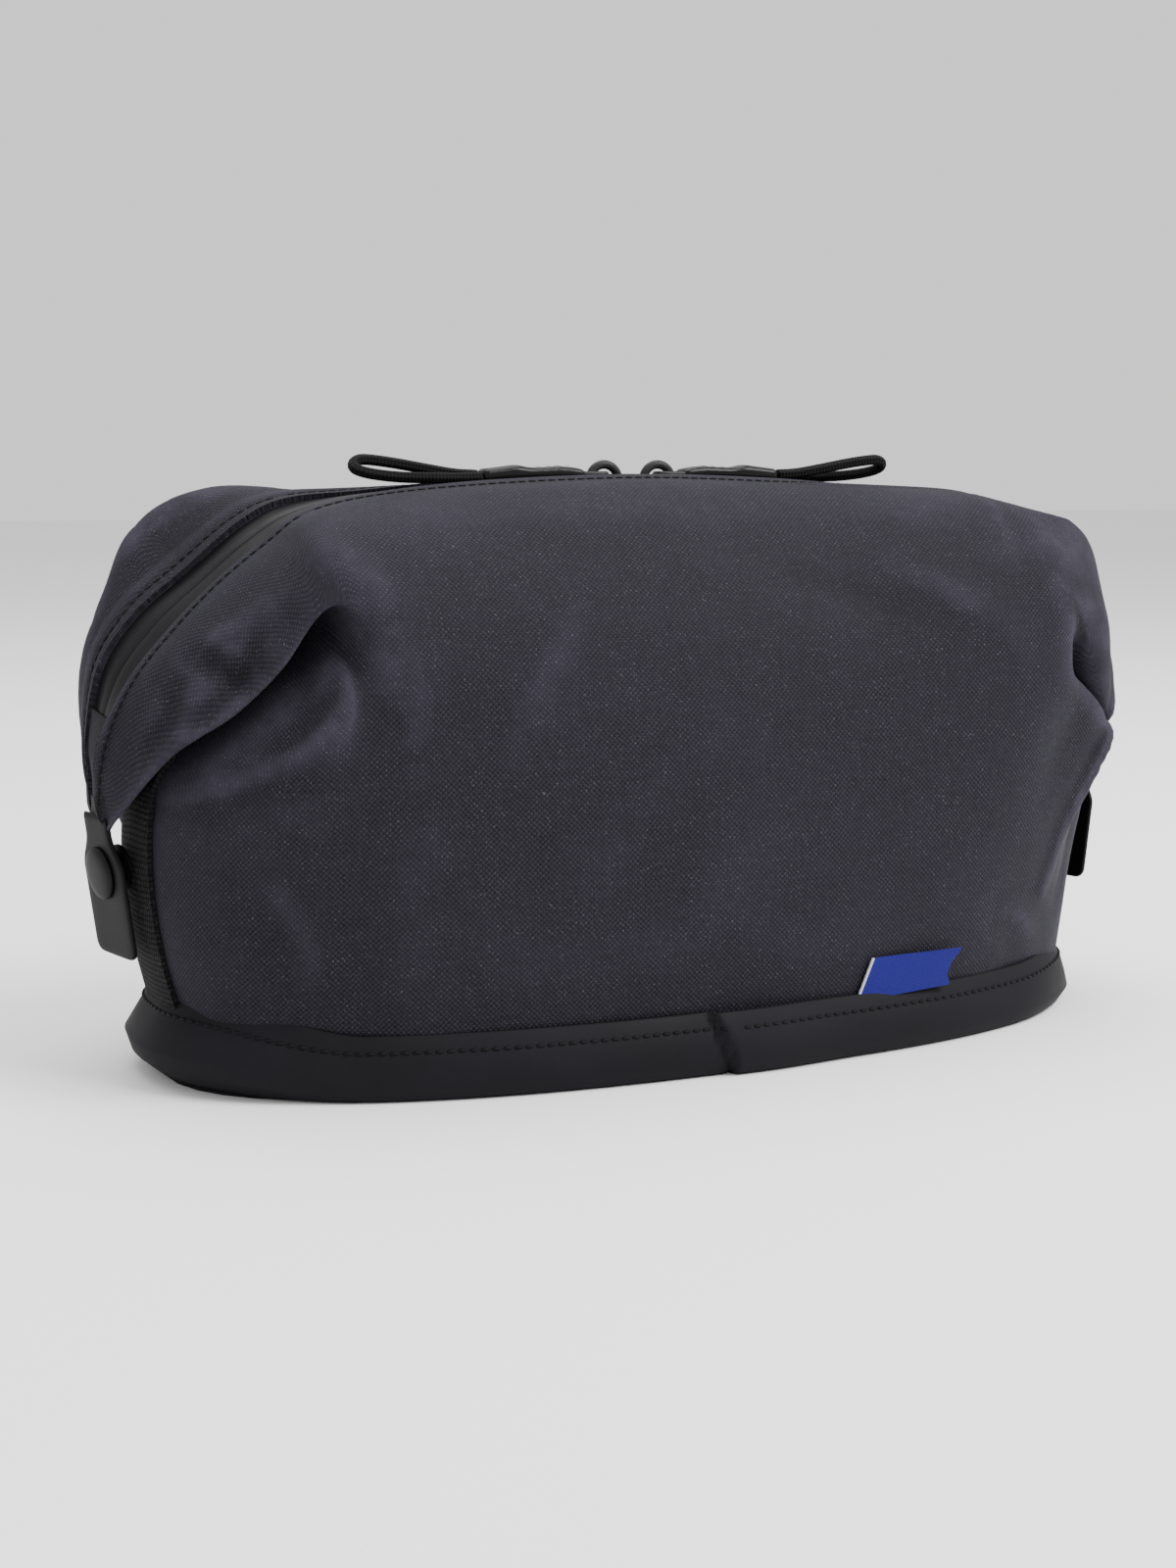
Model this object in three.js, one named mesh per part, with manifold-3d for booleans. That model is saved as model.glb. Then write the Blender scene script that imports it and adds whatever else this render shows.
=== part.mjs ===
// Zip-top shaving kit bag: canvas body on a coated base band, with end wings that fold down over
// the ends and are held by snap tabs. Millimetres, +Z up, +X along the bag, the front faces -Y.
// The origin is the middle of the base, on the surface that the bag stands on.
// The right end is the left end turned half a turn about Z.
import * as THREE from "three";
import Module from "manifold-3d";

const wasm = await Module();
wasm.setup();

// ---- driving dimensions ----
const GAP = 0.3; // between pieces that touch
const BASE_HALF_LENGTH = 141;
const BASE_HALF_DEPTH = 62;
const BASE_ROUNDNESS = 2.5; // exponent of the superellipse that the base follows
const BAND_HEIGHT = 17;
const BAND_WALL = 2.4;
const CANVAS = 1.2;
const LINING = 0.7;
const BASE_PANEL_THICK = 1.4;
const BOARD_THICK = 2.0;
const SHOULDER_X = 98; // where the straight top ends and a wing begins to fold
const TAPE_TOP = 153.6; // top face of the zip tape
const TAPE_THICK = 0.6;
const COIL_THICK = 1.7;
const SLOT_HALF = 1.2; // half the gap between the tapes that a slider's neck runs in
const ZIP_HALF = 7.2; // half the visible width of the zip
const SLIDER_X = 8.3; // each closed slider's middle, from the middle of the bag
const PULL_PIVOT_Z = 157.0;
const ARCH_Z = 155.3; // middle of each slider's arch
const CORD_RADIUS = 1.5;
const WEB_WIDTH = 29;
const WEB_THICK = 1.4;
const TAB_HINGE = [-152.8, 0, 69.5];
const TAB_TURN = THREE.MathUtils.degToRad(12); // the tab looks a little to the front
const TAB_TILT = THREE.MathUtils.degToRad(8); // and its lower end leans in
const TAB_SNAP = 14.5; // from the tab's hinge down to its snap
const LABEL_X = [40, 71];
const LABEL_HEIGHT = 11;

// Body outline at rising heights: z, half length, half depth, superellipse exponent, end trim.
// The trim leaves the ends open above the fold, where the wings join.
const BODY_LEVELS = [
  [1.8, 136.6, 57.6, 2.5, 0],
  [17, 136.9, 57.9, 2.5, 0],
  [38, 140.4, 60.0, 2.5, 0],
  [58, 142.2, 60.5, 2.5, 0],
  [78, 140.0, 58.5, 2.5, 0],
  [94, 133.0, 55.0, 2.6, 0],
  [106, 121.0, 51.0, 2.8, 0],
  [118, 98.0, 47.0, 3.2, 0.16],
  [131, 98.0, 41.5, 5.0, 0.5],
  [142, 98.0, 34.0, 5.0, 0.6],
  [150, 98.0, 24.0, 5.0, 0.6],
  [154.6, 98.0, 15.0, 5.0, 0.6],
  [156.2, 98.0, 7.6, 5.0, 0.6],
];

// The left wing's spine runs down over the end: x, z, front half width, front drop,
// back half width, back rise, back drop, thickness.
const WING_STATIONS = [
  [-98.6, 146.4, 42, 24, 42, 12, 14, 6],
  [-112, 138.5, 42, 22, 43, 19, 12, 7],
  [-125, 127.5, 39, 19, 41, 17, 8, 7],
  [-138, 115.5, 33, 17, 37, 12, 7, 6.5],
  [-146.5, 104, 27, 14, 31, 6, 7, 6],
  [-151, 93, 21, 9, 24, 2.5, 6, 5.5],
  [-152.6, 82, 15, 4, 16, 0.5, 3, 5],
  [-152.4, 72, 11.5, 1.5, 11.5, 0, 1.5, 4.5],
];

// ---- helpers ----
const V = (x, y, z) => new THREE.Vector3(x, y, z);
const lerp = THREE.MathUtils.lerp;
const smooth = (x, a, b) => THREE.MathUtils.smoothstep(x, a, b);

const finishes = {
  canvas: new THREE.MeshStandardMaterial({ color: 0x33323a, roughness: 0.9, metalness: 0 }),
  coated: new THREE.MeshStandardMaterial({ color: 0x232228, roughness: 0.6, metalness: 0 }),
  lining: new THREE.MeshStandardMaterial({ color: 0x3a3c44, roughness: 0.8, metalness: 0 }),
  webbing: new THREE.MeshStandardMaterial({ color: 0x101012, roughness: 0.9, metalness: 0 }),
  tape: new THREE.MeshStandardMaterial({ color: 0x26252b, roughness: 0.45, metalness: 0 }),
  hardware: new THREE.MeshStandardMaterial({ color: 0x2a2a2d, roughness: 0.45, metalness: 0 }),
  grip: new THREE.MeshStandardMaterial({ color: 0x19191b, roughness: 0.35, metalness: 0 }),
  board: new THREE.MeshStandardMaterial({ color: 0x2e2e30, roughness: 0.9, metalness: 0 }),
  label: new THREE.MeshStandardMaterial({ color: 0x2a3488, roughness: 0.8, metalness: 0 }),
};

const root = new THREE.Group();

function add(parent, name, geometry, material) {
  const mesh = new THREE.Mesh(geometry, material);
  mesh.name = name;
  parent.add(mesh);
  return mesh;
}

// A closed geometry from points and triangles, turned so that its faces point out.
function closed(points, triangles) {
  let volume = 0;
  for (const [a, b, c] of triangles)
    volume += points[a].dot(V(0, 0, 0).crossVectors(points[b], points[c]));
  const facing = volume < 0 ? triangles.map(([a, b, c]) => [a, c, b]) : triangles;
  return new THREE.BufferGeometry().setFromPoints(points).setIndex(facing.flat());
}

const quad = (a, b, c, d) => [
  [a, b, c],
  [a, c, d],
];

// Sheet solid between a grid of outer points and a matching grid of inner points.
function sheet(outer, inner) {
  const rows = outer.length;
  const cols = outer[0].length;
  const points = [...outer.flat(), ...inner.flat()];
  const O = (j, i) => j * cols + i;
  const I = (j, i) => rows * cols + j * cols + i;
  const faces = [];
  for (let j = 0; j < rows - 1; j++) {
    for (let i = 0; i < cols - 1; i++) {
      faces.push(...quad(O(j, i), O(j, i + 1), O(j + 1, i + 1), O(j + 1, i)));
      faces.push(...quad(I(j, i), I(j + 1, i), I(j + 1, i + 1), I(j, i + 1)));
    }
    faces.push(...quad(O(j, 0), O(j + 1, 0), I(j + 1, 0), I(j, 0)));
    faces.push(...quad(O(j, cols - 1), I(j, cols - 1), I(j + 1, cols - 1), O(j + 1, cols - 1)));
  }
  for (let i = 0; i < cols - 1; i++) {
    faces.push(...quad(O(0, i), I(0, i), I(0, i + 1), O(0, i + 1)));
    faces.push(...quad(O(rows - 1, i), O(rows - 1, i + 1), I(rows - 1, i + 1), I(rows - 1, i)));
  }
  return closed(points, faces);
}

// Solid through a row of rings. Flat ends are closed by a fan; endless joins the last ring to the first.
function rings(list, endless = false) {
  const n = list[0].length;
  const points = list.flat();
  const faces = [];
  const last = endless ? list.length : list.length - 1;
  for (let j = 0; j < last; j++) {
    const a = j * n;
    const b = ((j + 1) % list.length) * n;
    for (let i = 0; i < n; i++) {
      const k = (i + 1) % n;
      faces.push(...quad(a + i, a + k, b + k, b + i));
    }
  }
  if (!endless) {
    for (const [ring, turn] of [
      [0, false],
      [list.length - 1, true],
    ]) {
      const middle = list[ring].reduce((s, p) => s.add(p), V(0, 0, 0)).divideScalar(n);
      points.push(middle);
      for (let i = 0; i < n; i++) {
        const a = ring * n + i;
        const b = ring * n + ((i + 1) % n);
        faces.push(turn ? [a, b, points.length - 1] : [b, a, points.length - 1]);
      }
    }
  }
  return closed(points, faces);
}

// Point of a superellipse of half sizes a and b at an angle.
function superellipse(a, b, n, angle) {
  const c = Math.cos(angle);
  const s = Math.sin(angle);
  return [a * Math.sign(c) * Math.abs(c) ** (2 / n), b * Math.sign(s) * Math.abs(s) ** (2 / n)];
}

function baseRing(inset, z, count = 48) {
  return Array.from({ length: count }, (_, i) => {
    const angle = (2 * Math.PI * i) / count;
    const [x, y] = superellipse(
      BASE_HALF_LENGTH - inset,
      BASE_HALF_DEPTH - inset,
      BASE_ROUNDNESS,
      angle,
    );
    return V(x, y, z);
  });
}

const asSolid = (geometry) => {
  const g = geometry.index ? geometry.toNonIndexed() : geometry;
  const at = g.getAttribute("position");
  const seen = new Map();
  const vertices = [];
  const triangles = [];
  for (let i = 0; i < at.count; i++) {
    const p = [at.getX(i), at.getY(i), at.getZ(i)].map((x) => Math.round(x * 1e4) / 1e4);
    const key = p.join();
    if (!seen.has(key)) {
      seen.set(key, vertices.length / 3);
      vertices.push(...p);
    }
    triangles.push(seen.get(key));
  }
  const whole = [];
  for (let i = 0; i < triangles.length; i += 3) {
    const [a, b, c] = triangles.slice(i, i + 3);
    if (a !== b && b !== c && a !== c) whole.push(a, b, c);
  }
  return new wasm.Manifold(
    new wasm.Mesh({
      numProp: 3,
      vertProperties: new Float32Array(vertices),
      triVerts: new Uint32Array(whole),
    }),
  );
};

function asGeometry(solid) {
  const m = solid.getMesh();
  return new THREE.BufferGeometry()
    .setAttribute("position", new THREE.BufferAttribute(new Float32Array(m.vertProperties), 3))
    .setIndex(new THREE.BufferAttribute(m.triVerts, 1));
}

const join = (...pieces) => asGeometry(pieces.map(asSolid).reduce((a, b) => a.add(b)));

const box = (sx, sy, sz, x, y, z) => new THREE.BoxGeometry(sx, sy, sz).translate(x, y, z);

// Turned piece about the local X axis, from a profile of [radius, x] points. A profile that leaves
// and meets the axis is solid, and any other one closes on itself.
function turned(profile, sides = 20) {
  const solid = profile[0][0] === 0;
  const loop = (solid ? profile : [...profile, profile[0]]).map(([r, x]) => new THREE.Vector2(r, x));
  return new THREE.LatheGeometry(loop.reverse(), sides).rotateZ(-Math.PI / 2);
}

// ---- base ----
function makeBase() {
  add(root, "base_panel", rings([baseRing(4, 0), baseRing(4, BASE_PANEL_THICK)]), finishes.coated);
  const boardFoot = BASE_PANEL_THICK + GAP;
  const board = rings([baseRing(6.6, boardFoot), baseRing(6.6, boardFoot + BOARD_THICK)]);
  add(root, "base_board", board, finishes.board);
  const inner = BAND_WALL + 1.2;
  const band = rings(
    [
      baseRing(2.2, 0),
      baseRing(0, 2.4),
      baseRing(-0.9, 9),
      baseRing(1.4, BAND_HEIGHT),
      baseRing(inner - 0.1, BAND_HEIGHT),
      baseRing(inner, 2),
      baseRing(inner, 0),
    ],
    true,
  );
  add(root, "base_band", band, finishes.coated);
}

// ---- canvas body ----
// Body outline as a point: side -1 is the front, around runs 0 to 1 from the left end to the right.
function bodyPoint(level, around, side, inset) {
  const [z, a, b, n, trim] = level;
  const angle = lerp(trim, Math.PI - trim, around);
  const [x, y] = superellipse(a - inset, b - inset, n, angle);
  // the zip line drops a little towards the shoulders
  const sag = 9 * smooth(Math.abs(x), 75, 104) * smooth(z, 128, 156);
  return V(-x, side * (GAP / 2 + Math.max(y, 0)), z - sag);
}

function makePanel(name, side) {
  const cols = 24;
  const grid = (inset, drop) =>
    BODY_LEVELS.map((level, j) => {
      const top = j / (BODY_LEVELS.length - 1);
      return Array.from({ length: cols + 1 }, (_, i) => {
        const p = bodyPoint(level, i / cols, side, inset * (1 - smooth(top, 0.75, 1)));
        p.z -= drop * smooth(top, 0.6, 1);
        return p;
      });
    });
  add(root, name, sheet(grid(0, 0), grid(CANVAS, CANVAS)), finishes.canvas);
}

function makeLining() {
  const around = 32;
  const levels = BODY_LEVELS.filter(([z]) => z > 10 && z < 145);
  const ring = (level, inset, z) =>
    Array.from({ length: around }, (_, i) => {
      const angle = (2 * Math.PI * i) / around;
      const [x, y] = superellipse(level[1] - inset, level[2] - inset, level[3], angle);
      return V(x, y, z);
    });
  const floor = BASE_PANEL_THICK + BOARD_THICK + 2 * GAP;
  const out = CANVAS + 1.0;
  const lined = [
    ring(levels[0], out + 2, floor),
    ring(levels[0], out, floor + 3),
    ...levels.map((l) => ring(l, out + endInset(l), l[0] - linerDrop(l))),
    ...levels.reverse().map((l) => ring(l, out + LINING + endInset(l), l[0] - linerDrop(l))),
    ring(levels.at(-1), out + LINING, floor + 3),
    ring(levels.at(-1), out + LINING + 2, floor + LINING),
  ];
  add(root, "lining", rings(lined), finishes.lining);
}

const linerDrop = ([z]) => 5 * smooth(z, 100, 150);
const endInset = ([z]) => 1.5 * smooth(z, 60, 118);

// Half length of the body's outline at a height and a distance from the middle plane.
function endReach(z, y) {
  const k = BODY_LEVELS.findIndex((l) => l[0] > z);
  const [lo, hi] = [BODY_LEVELS[k - 1], BODY_LEVELS[k]];
  const t = (z - lo[0]) / (hi[0] - lo[0]);
  const [a, b, n] = [1, 2, 3].map((c) => lerp(lo[c], hi[c], t));
  return a * (1 - (Math.abs(y) / b) ** n) ** (1 / n);
}

// ---- zip ----
function makeZip() {
  const half = SHOULDER_X - 0.3;
  const bend = (x) => 9 * smooth(Math.abs(x), 75, 104);
  const xs = [-half, -92, -86, -80, -75, -40, 0, 40, 75, 80, 86, 92, half];
  const strip = (y0, y1, top, thick) => {
    const row = (z) => [y0, y1].map((y) => xs.map((x) => V(x, y, z - bend(x))));
    return sheet(row(top), row(top - thick));
  };
  for (const [end, side] of [
    ["front", -1],
    ["back", 1],
  ]) {
    const tape = strip(side * SLOT_HALF, side * 10.5, TAPE_TOP, TAPE_THICK);
    add(root, `zip_tape_${end}`, tape, finishes.tape);
    const coilTop = TAPE_TOP - TAPE_THICK - GAP;
    const coil = strip(side * SLOT_HALF, side * 3.4, coilTop, COIL_THICK);
    add(root, `zip_coil_${end}`, coil, finishes.tape);
  }
}

// ---- one slider and its pull, pointing to the left ----
function archGeometry(inner, outer, thick, foot) {
  const shape = new THREE.Shape();
  shape.moveTo(outer, -foot);
  shape.lineTo(outer, 0);
  shape.absarc(0, 0, outer, 0, Math.PI, false);
  shape.lineTo(-outer, -foot);
  shape.lineTo(-inner, -foot);
  shape.lineTo(-inner, 0);
  shape.absarc(0, 0, inner, Math.PI, 0, true);
  shape.lineTo(inner, -foot);
  shape.closePath();
  const arch = new THREE.ExtrudeGeometry(shape, {
    depth: thick,
    bevelEnabled: false,
    curveSegments: 10,
  });
  return arch.translate(0, 0, -thick / 2).rotateX(Math.PI / 2);
}

function makeSlider(parent, end) {
  const plateFoot = TAPE_TOP + GAP;
  const plateTop = plateFoot + 1.5;
  const coilFoot = TAPE_TOP - TAPE_THICK - GAP - COIL_THICK;
  const underTop = coilFoot - GAP;
  const underFoot = underTop - 1.2;
  const plate = box(13, 9, 1.5, 0, 0, (plateFoot + plateTop) / 2);
  const under = box(12, 9, 1.2, 0, 0, (underTop + underFoot) / 2);
  const neck = box(6, 2 * SLOT_HALF - 0.8, plateTop - underFoot - 0.4, 0, 0, (plateTop + underFoot) / 2);
  const foot = ARCH_Z - plateTop + 0.5;
  const arch = archGeometry(3.3, 5.5, 2.4, foot).translate(0, 0, ARCH_Z);
  const slider = join(plate, under, neck, arch).translate(-SLIDER_X, 0, 0);
  add(parent, `slider_${end}`, slider, finishes.hardware);
}

// Ring of an elliptical section, square to X, at a place along the pull.
function gripRing(x, halfWidth, halfHeight, z = 0, count = 14) {
  return Array.from({ length: count }, (_, i) => {
    const angle = (2 * Math.PI * i) / count;
    return V(x, halfWidth * Math.cos(angle), z + halfHeight * Math.sin(angle));
  });
}

// A round bar or cord along a smooth curve through points.
function cordSolid(points, radius, steps, sides = 8) {
  const section = new THREE.Shape(
    Array.from({ length: sides }, (_, i) => {
      const angle = (2 * Math.PI * (i + 0.5)) / sides;
      return new THREE.Vector2(radius * Math.cos(angle), radius * Math.sin(angle));
    }),
  );
  const path = new THREE.CatmullRomCurve3(points, false, "centripetal");
  return new THREE.ExtrudeGeometry(section, { steps, extrudePath: path });
}

// Route of the pull's loop of cord, from the front strand's exit round to the back strand's exit,
// measured from the pull's pivot.
const LOOP_ROUTE = [
  [-37.6, -1.7, -0.9],
  [-44, -2.0, -1.0],
  [-52, -2.4, -0.9],
  [-60, -2.6, -0.7],
  [-66, -2.6, -0.2],
  [-70.4, -2.3, 0.5],
  [-72.8, -1.2, 1.3],
  [-73.4, 0.2, 2.2],
  [-72.6, 1.5, 3.3],
  [-70.4, 2.3, 4.0],
  [-66.5, 2.6, 3.8],
  [-60, 2.5, 2.9],
  [-52, 2.3, 1.5],
  [-44, 1.9, 0.2],
  [-37.6, 1.7, -0.2],
];

function makePull(parent, end) {
  const pull = new THREE.Group();
  pull.position.set(-SLIDER_X, 0, PULL_PIVOT_Z);
  parent.add(pull);
  const eye = cordSolid(
    [V(-6.6, -2.5, 0), V(-3, -2.6, 0), V(-0.6, -2.3, 0), V(0, -1.2, 0)]
      .concat([V(0, 1.2, 0), V(-0.6, 2.3, 0), V(-3, 2.6, 0), V(-6.6, 2.5, 0)]),
    0.9,
    16,
  );
  add(pull, `pull_eye_${end}`, eye, finishes.grip);
  const grip = rings([
    gripRing(-7, 3.2, 1.2),
    gripRing(-9, 3.6, 1.8),
    gripRing(-14, 3.4, 2.0, 0.3),
    gripRing(-18, 3.3, 1.8, 0.3),
    gripRing(-23, 3.3, 1.8, 0.2),
    gripRing(-27, 3.6, 2.3, 0.3),
    gripRing(-31, 3.5, 2.1, 0.1),
    gripRing(-37.2, 3.5, 2.0, -0.5),
  ]);
  add(pull, `pull_grip_${end}`, grip, finishes.grip);
  const route = LOOP_ROUTE.map((p) => V(...p));
  add(pull, `pull_loop_${end}`, cordSolid(route, CORD_RADIUS, 28), finishes.webbing);
}

// ---- one end: webbing, wing, tab and snap, at the left ----
function makeWebbing(parent, end) {
  const heights = [BAND_HEIGHT + GAP, 28, 38, 48, 58, 68, 78, 86, 94, 102];
  const across = [-1, -0.5, 0, 0.5, 1];
  const grid = (lift) =>
    heights.map((z) =>
      across.map((k) => {
        const y = (k * WEB_WIDTH) / 2;
        return V(-endReach(z, y) - 0.8 - lift, y, z);
      }),
    );
  add(parent, `end_webbing_${end}`, sheet(grid(WEB_THICK), grid(0)), finishes.webbing);
}

// Frames along the wing's spine: place, tangent and outward normal, in the XZ plane.
function spineFrames() {
  const path = new THREE.CatmullRomCurve3(WING_STATIONS.map(([x, z]) => V(x, 0, z)));
  const last = WING_STATIONS.length - 1;
  return WING_STATIONS.map(([x, z], k) => {
    const t = path.getTangent(k / last);
    const normal = k === 0 ? V(0, 0, 1) : V(t.z, 0, -t.x).normalize();
    if (normal.x > 0) normal.negate();
    return { at: V(x, 0, z), normal };
  });
}

function wingHalf(side) {
  const frames = spineFrames();
  const steps = [0, 0.25, 0.5, 0.75, 1];
  return WING_STATIONS.map((s, k) => {
    const [width, drop] = side < 0 ? [s[2], s[3]] : [s[4], s[6]];
    const rise = side < 0 ? 0 : s[5];
    const thick = s[7];
    const start = ZIP_HALF + GAP;
    const place = (t, depth, tuck) => {
      const across = lerp(start, width, t) - tuck;
      const lift = rise * Math.sin(Math.PI * Math.min(1, t * 1.1)) - drop * t ** 2.2 - depth;
      return frames[k].at.clone().addScaledVector(frames[k].normal, lift).setY(side * across);
    };
    const outer = steps.map((t) => place(t, 0, 0));
    const nose = [place(1, thick * 0.5, -1.2)];
    const inner = steps.map((t) => place(t, thick, t * 1.0)).reverse();
    return [...outer, ...nose, ...inner];
  });
}

function spineStrip(from, to, half, lift, thick) {
  const frames = spineFrames().slice(from, to + 1);
  const row = (up) =>
    frames.map(({ at, normal }) =>
      [-half, half].map((y) => at.clone().addScaledVector(normal, up).setY(y)),
    );
  return sheet(row(lift), row(lift - thick));
}

function makeWing(parent, end, turnedRound) {
  const [front, back] = turnedRound ? ["back", "front"] : ["front", "back"];
  add(parent, `wing_${front}_${end}`, rings(wingHalf(-1)), finishes.canvas);
  add(parent, `wing_${back}_${end}`, rings(wingHalf(1)), finishes.canvas);
  add(parent, `wing_zip_${end}`, spineStrip(0, 5, ZIP_HALF, -0.6, 1.6), finishes.tape);
  const garage = spineStrip(5, 7, ZIP_HALF, 0, 1.4);
  add(parent, `zip_garage_${end}`, garage.translate(0, 0, -GAP - 0.2), finishes.canvas);
}

// Local frame of the tab: X out of its face, Z up along it, with its hinge at the origin.
function tabFrame() {
  const out = V(
    -Math.cos(TAB_TILT) * Math.cos(TAB_TURN),
    -Math.cos(TAB_TILT) * Math.sin(TAB_TURN),
    -Math.sin(TAB_TILT),
  );
  const up = V(
    -Math.sin(TAB_TILT) * Math.cos(TAB_TURN),
    -Math.sin(TAB_TILT) * Math.sin(TAB_TURN),
    Math.cos(TAB_TILT),
  );
  const across = V(0, 0, 0).crossVectors(up, out);
  const frame = new THREE.Group();
  frame.quaternion.setFromRotationMatrix(new THREE.Matrix4().makeBasis(out, across, up));
  frame.position.set(...TAB_HINGE);
  return frame;
}

function tabOutline() {
  const shape = new THREE.Shape();
  shape.moveTo(-6.5, 1);
  shape.lineTo(6.5, 1);
  shape.lineTo(6.5, -5);
  shape.bezierCurveTo(6.5, -9, 11, -9, 11, -14);
  shape.lineTo(11, -34);
  shape.quadraticCurveTo(11, -37, 8, -37);
  shape.lineTo(-8, -37);
  shape.quadraticCurveTo(-11, -37, -11, -34);
  shape.lineTo(-11, -14);
  shape.bezierCurveTo(-11, -9, -6.5, -9, -6.5, -5);
  shape.closePath();
  return shape;
}

function makeTab(parent, end) {
  const tab = tabFrame();
  parent.add(tab);
  const sheetHalf = 0.9;
  const strap = new THREE.ExtrudeGeometry(tabOutline(), {
    depth: 2 * sheetHalf,
    bevelEnabled: false,
    curveSegments: 5,
  })
    .translate(0, 0, -sheetHalf)
    .rotateX(Math.PI / 2)
    .rotateZ(Math.PI / 2);
  add(tab, `snap_tab_${end}`, strap, finishes.coated);
  const capProfile = [
    [0, 3.0],
    [4.5, 2.9],
    [6.4, 2.5],
    [7.0, 1.9],
    [7.0, 1.2],
    [0, 1.2],
  ];
  add(tab, `snap_cap_${end}`, turned(capProfile).translate(0, 0, -TAB_SNAP), finishes.hardware);
  const socketProfile = [
    [3.4, -1.2],
    [6.0, -1.2],
    [6.0, -2.7],
    [5.4, -3.3],
    [3.4, -3.3],
  ];
  add(tab, `snap_socket_${end}`, turned(socketProfile).translate(0, 0, -TAB_SNAP), finishes.hardware);
  const stud = tabFrame();
  parent.add(stud);
  const studProfile = [
    [0, -2.2],
    [2.1, -2.4],
    [2.1, -4.2],
    [6.3, -4.2],
    [6.3, -5.2],
    [0, -5.2],
  ];
  add(stud, `snap_stud_${end}`, turned(studProfile).translate(0, 0, -TAB_SNAP), finishes.hardware);
}

function makeEnd(end, turnedRound) {
  const side = new THREE.Group();
  if (turnedRound) side.rotation.z = Math.PI;
  root.add(side);
  makeSlider(side, end);
  makePull(side, end);
  makeWebbing(side, end);
  makeWing(side, end, turnedRound);
  makeTab(side, end);
}

// ---- label sewn into the top of the base band ----
function makeLabel() {
  const foot = BAND_HEIGHT + GAP;
  const grid = (lift) =>
    [0, 0.5, 1].map((t) =>
      [0, 0.33, 0.67, 1].map((k) => {
        const z = foot + t * LABEL_HEIGHT;
        const x = lerp(LABEL_X[0] + 3 * t, LABEL_X[1] + 3 * t, k);
        return V(x, -frontReach(z, x) - 0.5 - lift, z);
      }),
    );
  add(root, "side_label", sheet(grid(0.8), grid(0)), finishes.label);
}

function frontReach(z, x) {
  const k = BODY_LEVELS.findIndex((l) => l[0] > z);
  const [lo, hi] = [BODY_LEVELS[k - 1], BODY_LEVELS[k]];
  const t = (z - lo[0]) / (hi[0] - lo[0]);
  const [a, b, n] = [1, 2, 3].map((c) => lerp(lo[c], hi[c], t));
  return b * (1 - (Math.abs(x) / a) ** n) ** (1 / n);
}

makeBase();
makePanel("front_panel", -1);
makePanel("back_panel", 1);
makeLining();
makeZip();
makeLabel();
makeEnd("left", false);
makeEnd("right", true);

export default root;
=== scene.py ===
"""Zip-top shaving kit bag of waxed canvas on a coated base, with end wings held down by snap tabs.

Lengths in the shape functions are millimetres, in the frame's own axes: +X along the bag, the front
faces -Y, +Z up, origin in the middle of the base. The meshes are in metres. The front is folded at the
left and puffed out at the right. The back is the same net turned half a turn about Z, with folds of
its own, so each end has one folded side and one puffed side.
"""

import math

import bmesh
import bpy
import numpy as np
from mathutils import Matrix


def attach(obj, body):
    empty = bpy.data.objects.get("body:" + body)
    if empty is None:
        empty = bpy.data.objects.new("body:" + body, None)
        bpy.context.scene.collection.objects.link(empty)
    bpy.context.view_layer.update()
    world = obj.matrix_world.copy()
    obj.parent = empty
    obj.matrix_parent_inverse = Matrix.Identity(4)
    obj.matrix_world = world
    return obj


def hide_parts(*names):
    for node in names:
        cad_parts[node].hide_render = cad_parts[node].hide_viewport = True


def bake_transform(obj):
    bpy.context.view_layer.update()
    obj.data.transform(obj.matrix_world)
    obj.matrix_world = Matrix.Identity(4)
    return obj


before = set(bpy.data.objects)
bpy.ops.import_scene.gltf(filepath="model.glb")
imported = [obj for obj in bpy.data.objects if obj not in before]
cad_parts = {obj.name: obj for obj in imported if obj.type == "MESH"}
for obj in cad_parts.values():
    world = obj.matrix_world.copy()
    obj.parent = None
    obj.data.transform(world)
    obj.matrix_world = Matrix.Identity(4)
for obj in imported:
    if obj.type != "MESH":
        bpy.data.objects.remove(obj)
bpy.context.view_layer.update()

MM = 0.001
AS_DRAWN = np.ones(3)
HALF_TURN = np.array([-1.0, -1.0, 1.0])
FACE_TURNS = {"front": AS_DRAWN, "back": HALF_TURN}
END_TURNS = {"left": AS_DRAWN, "right": HALF_TURN}

# ---- driving sizes, in millimetres ----
BASE_HALF = (141.0, 63.2)
BASE_ROUNDNESS = 2.36
BAND_HEIGHT = 17.0
BAND_STEPS = 720
CANVAS_THICK = 1.1
LINING_THICK = 0.5
LINING_GAP = 0.6
SEAM_INSET = 3.5
TAPE_THICK = 0.45
SLIDER_X = 8.3
PULL_PIVOT_Z = 157.0
CORD_RADIUS = 1.5
TAB_HINGE = np.array([-152.8, 0.0, 69.5])
TAB_TURN = math.radians(12)
TAB_TILT = math.radians(8)
TAB_SNAP = 14.5
WEB_HALF = 14.5
WEB_THICK = 1.4

# ---- places on the canvas net, in stations out from the middle and levels up from the base ----
WING_STATION = 3
LINING_END = 8.3
PATCH_START = 7.55
FOLD_LEVEL = 5
COARSE = 3


# ---------------------------------------------------------------- camera and lights
def make_camera():
    """Camera a little above the zip, at the front left, looking along +X and +Y."""
    data = bpy.data.cameras.new("camera")
    data.lens = 53.12
    data.sensor_width = 36
    data.sensor_fit = "AUTO"
    data.clip_start = 0.01
    camera = bpy.data.objects.new("camera", data)
    camera.location = (-0.2852, -0.5880, 0.1599)
    camera.rotation_euler = (math.radians(90 - 7.8816), 0, math.radians(-24.826))
    bpy.context.collection.objects.link(camera)
    bpy.context.scene.camera = camera


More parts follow.
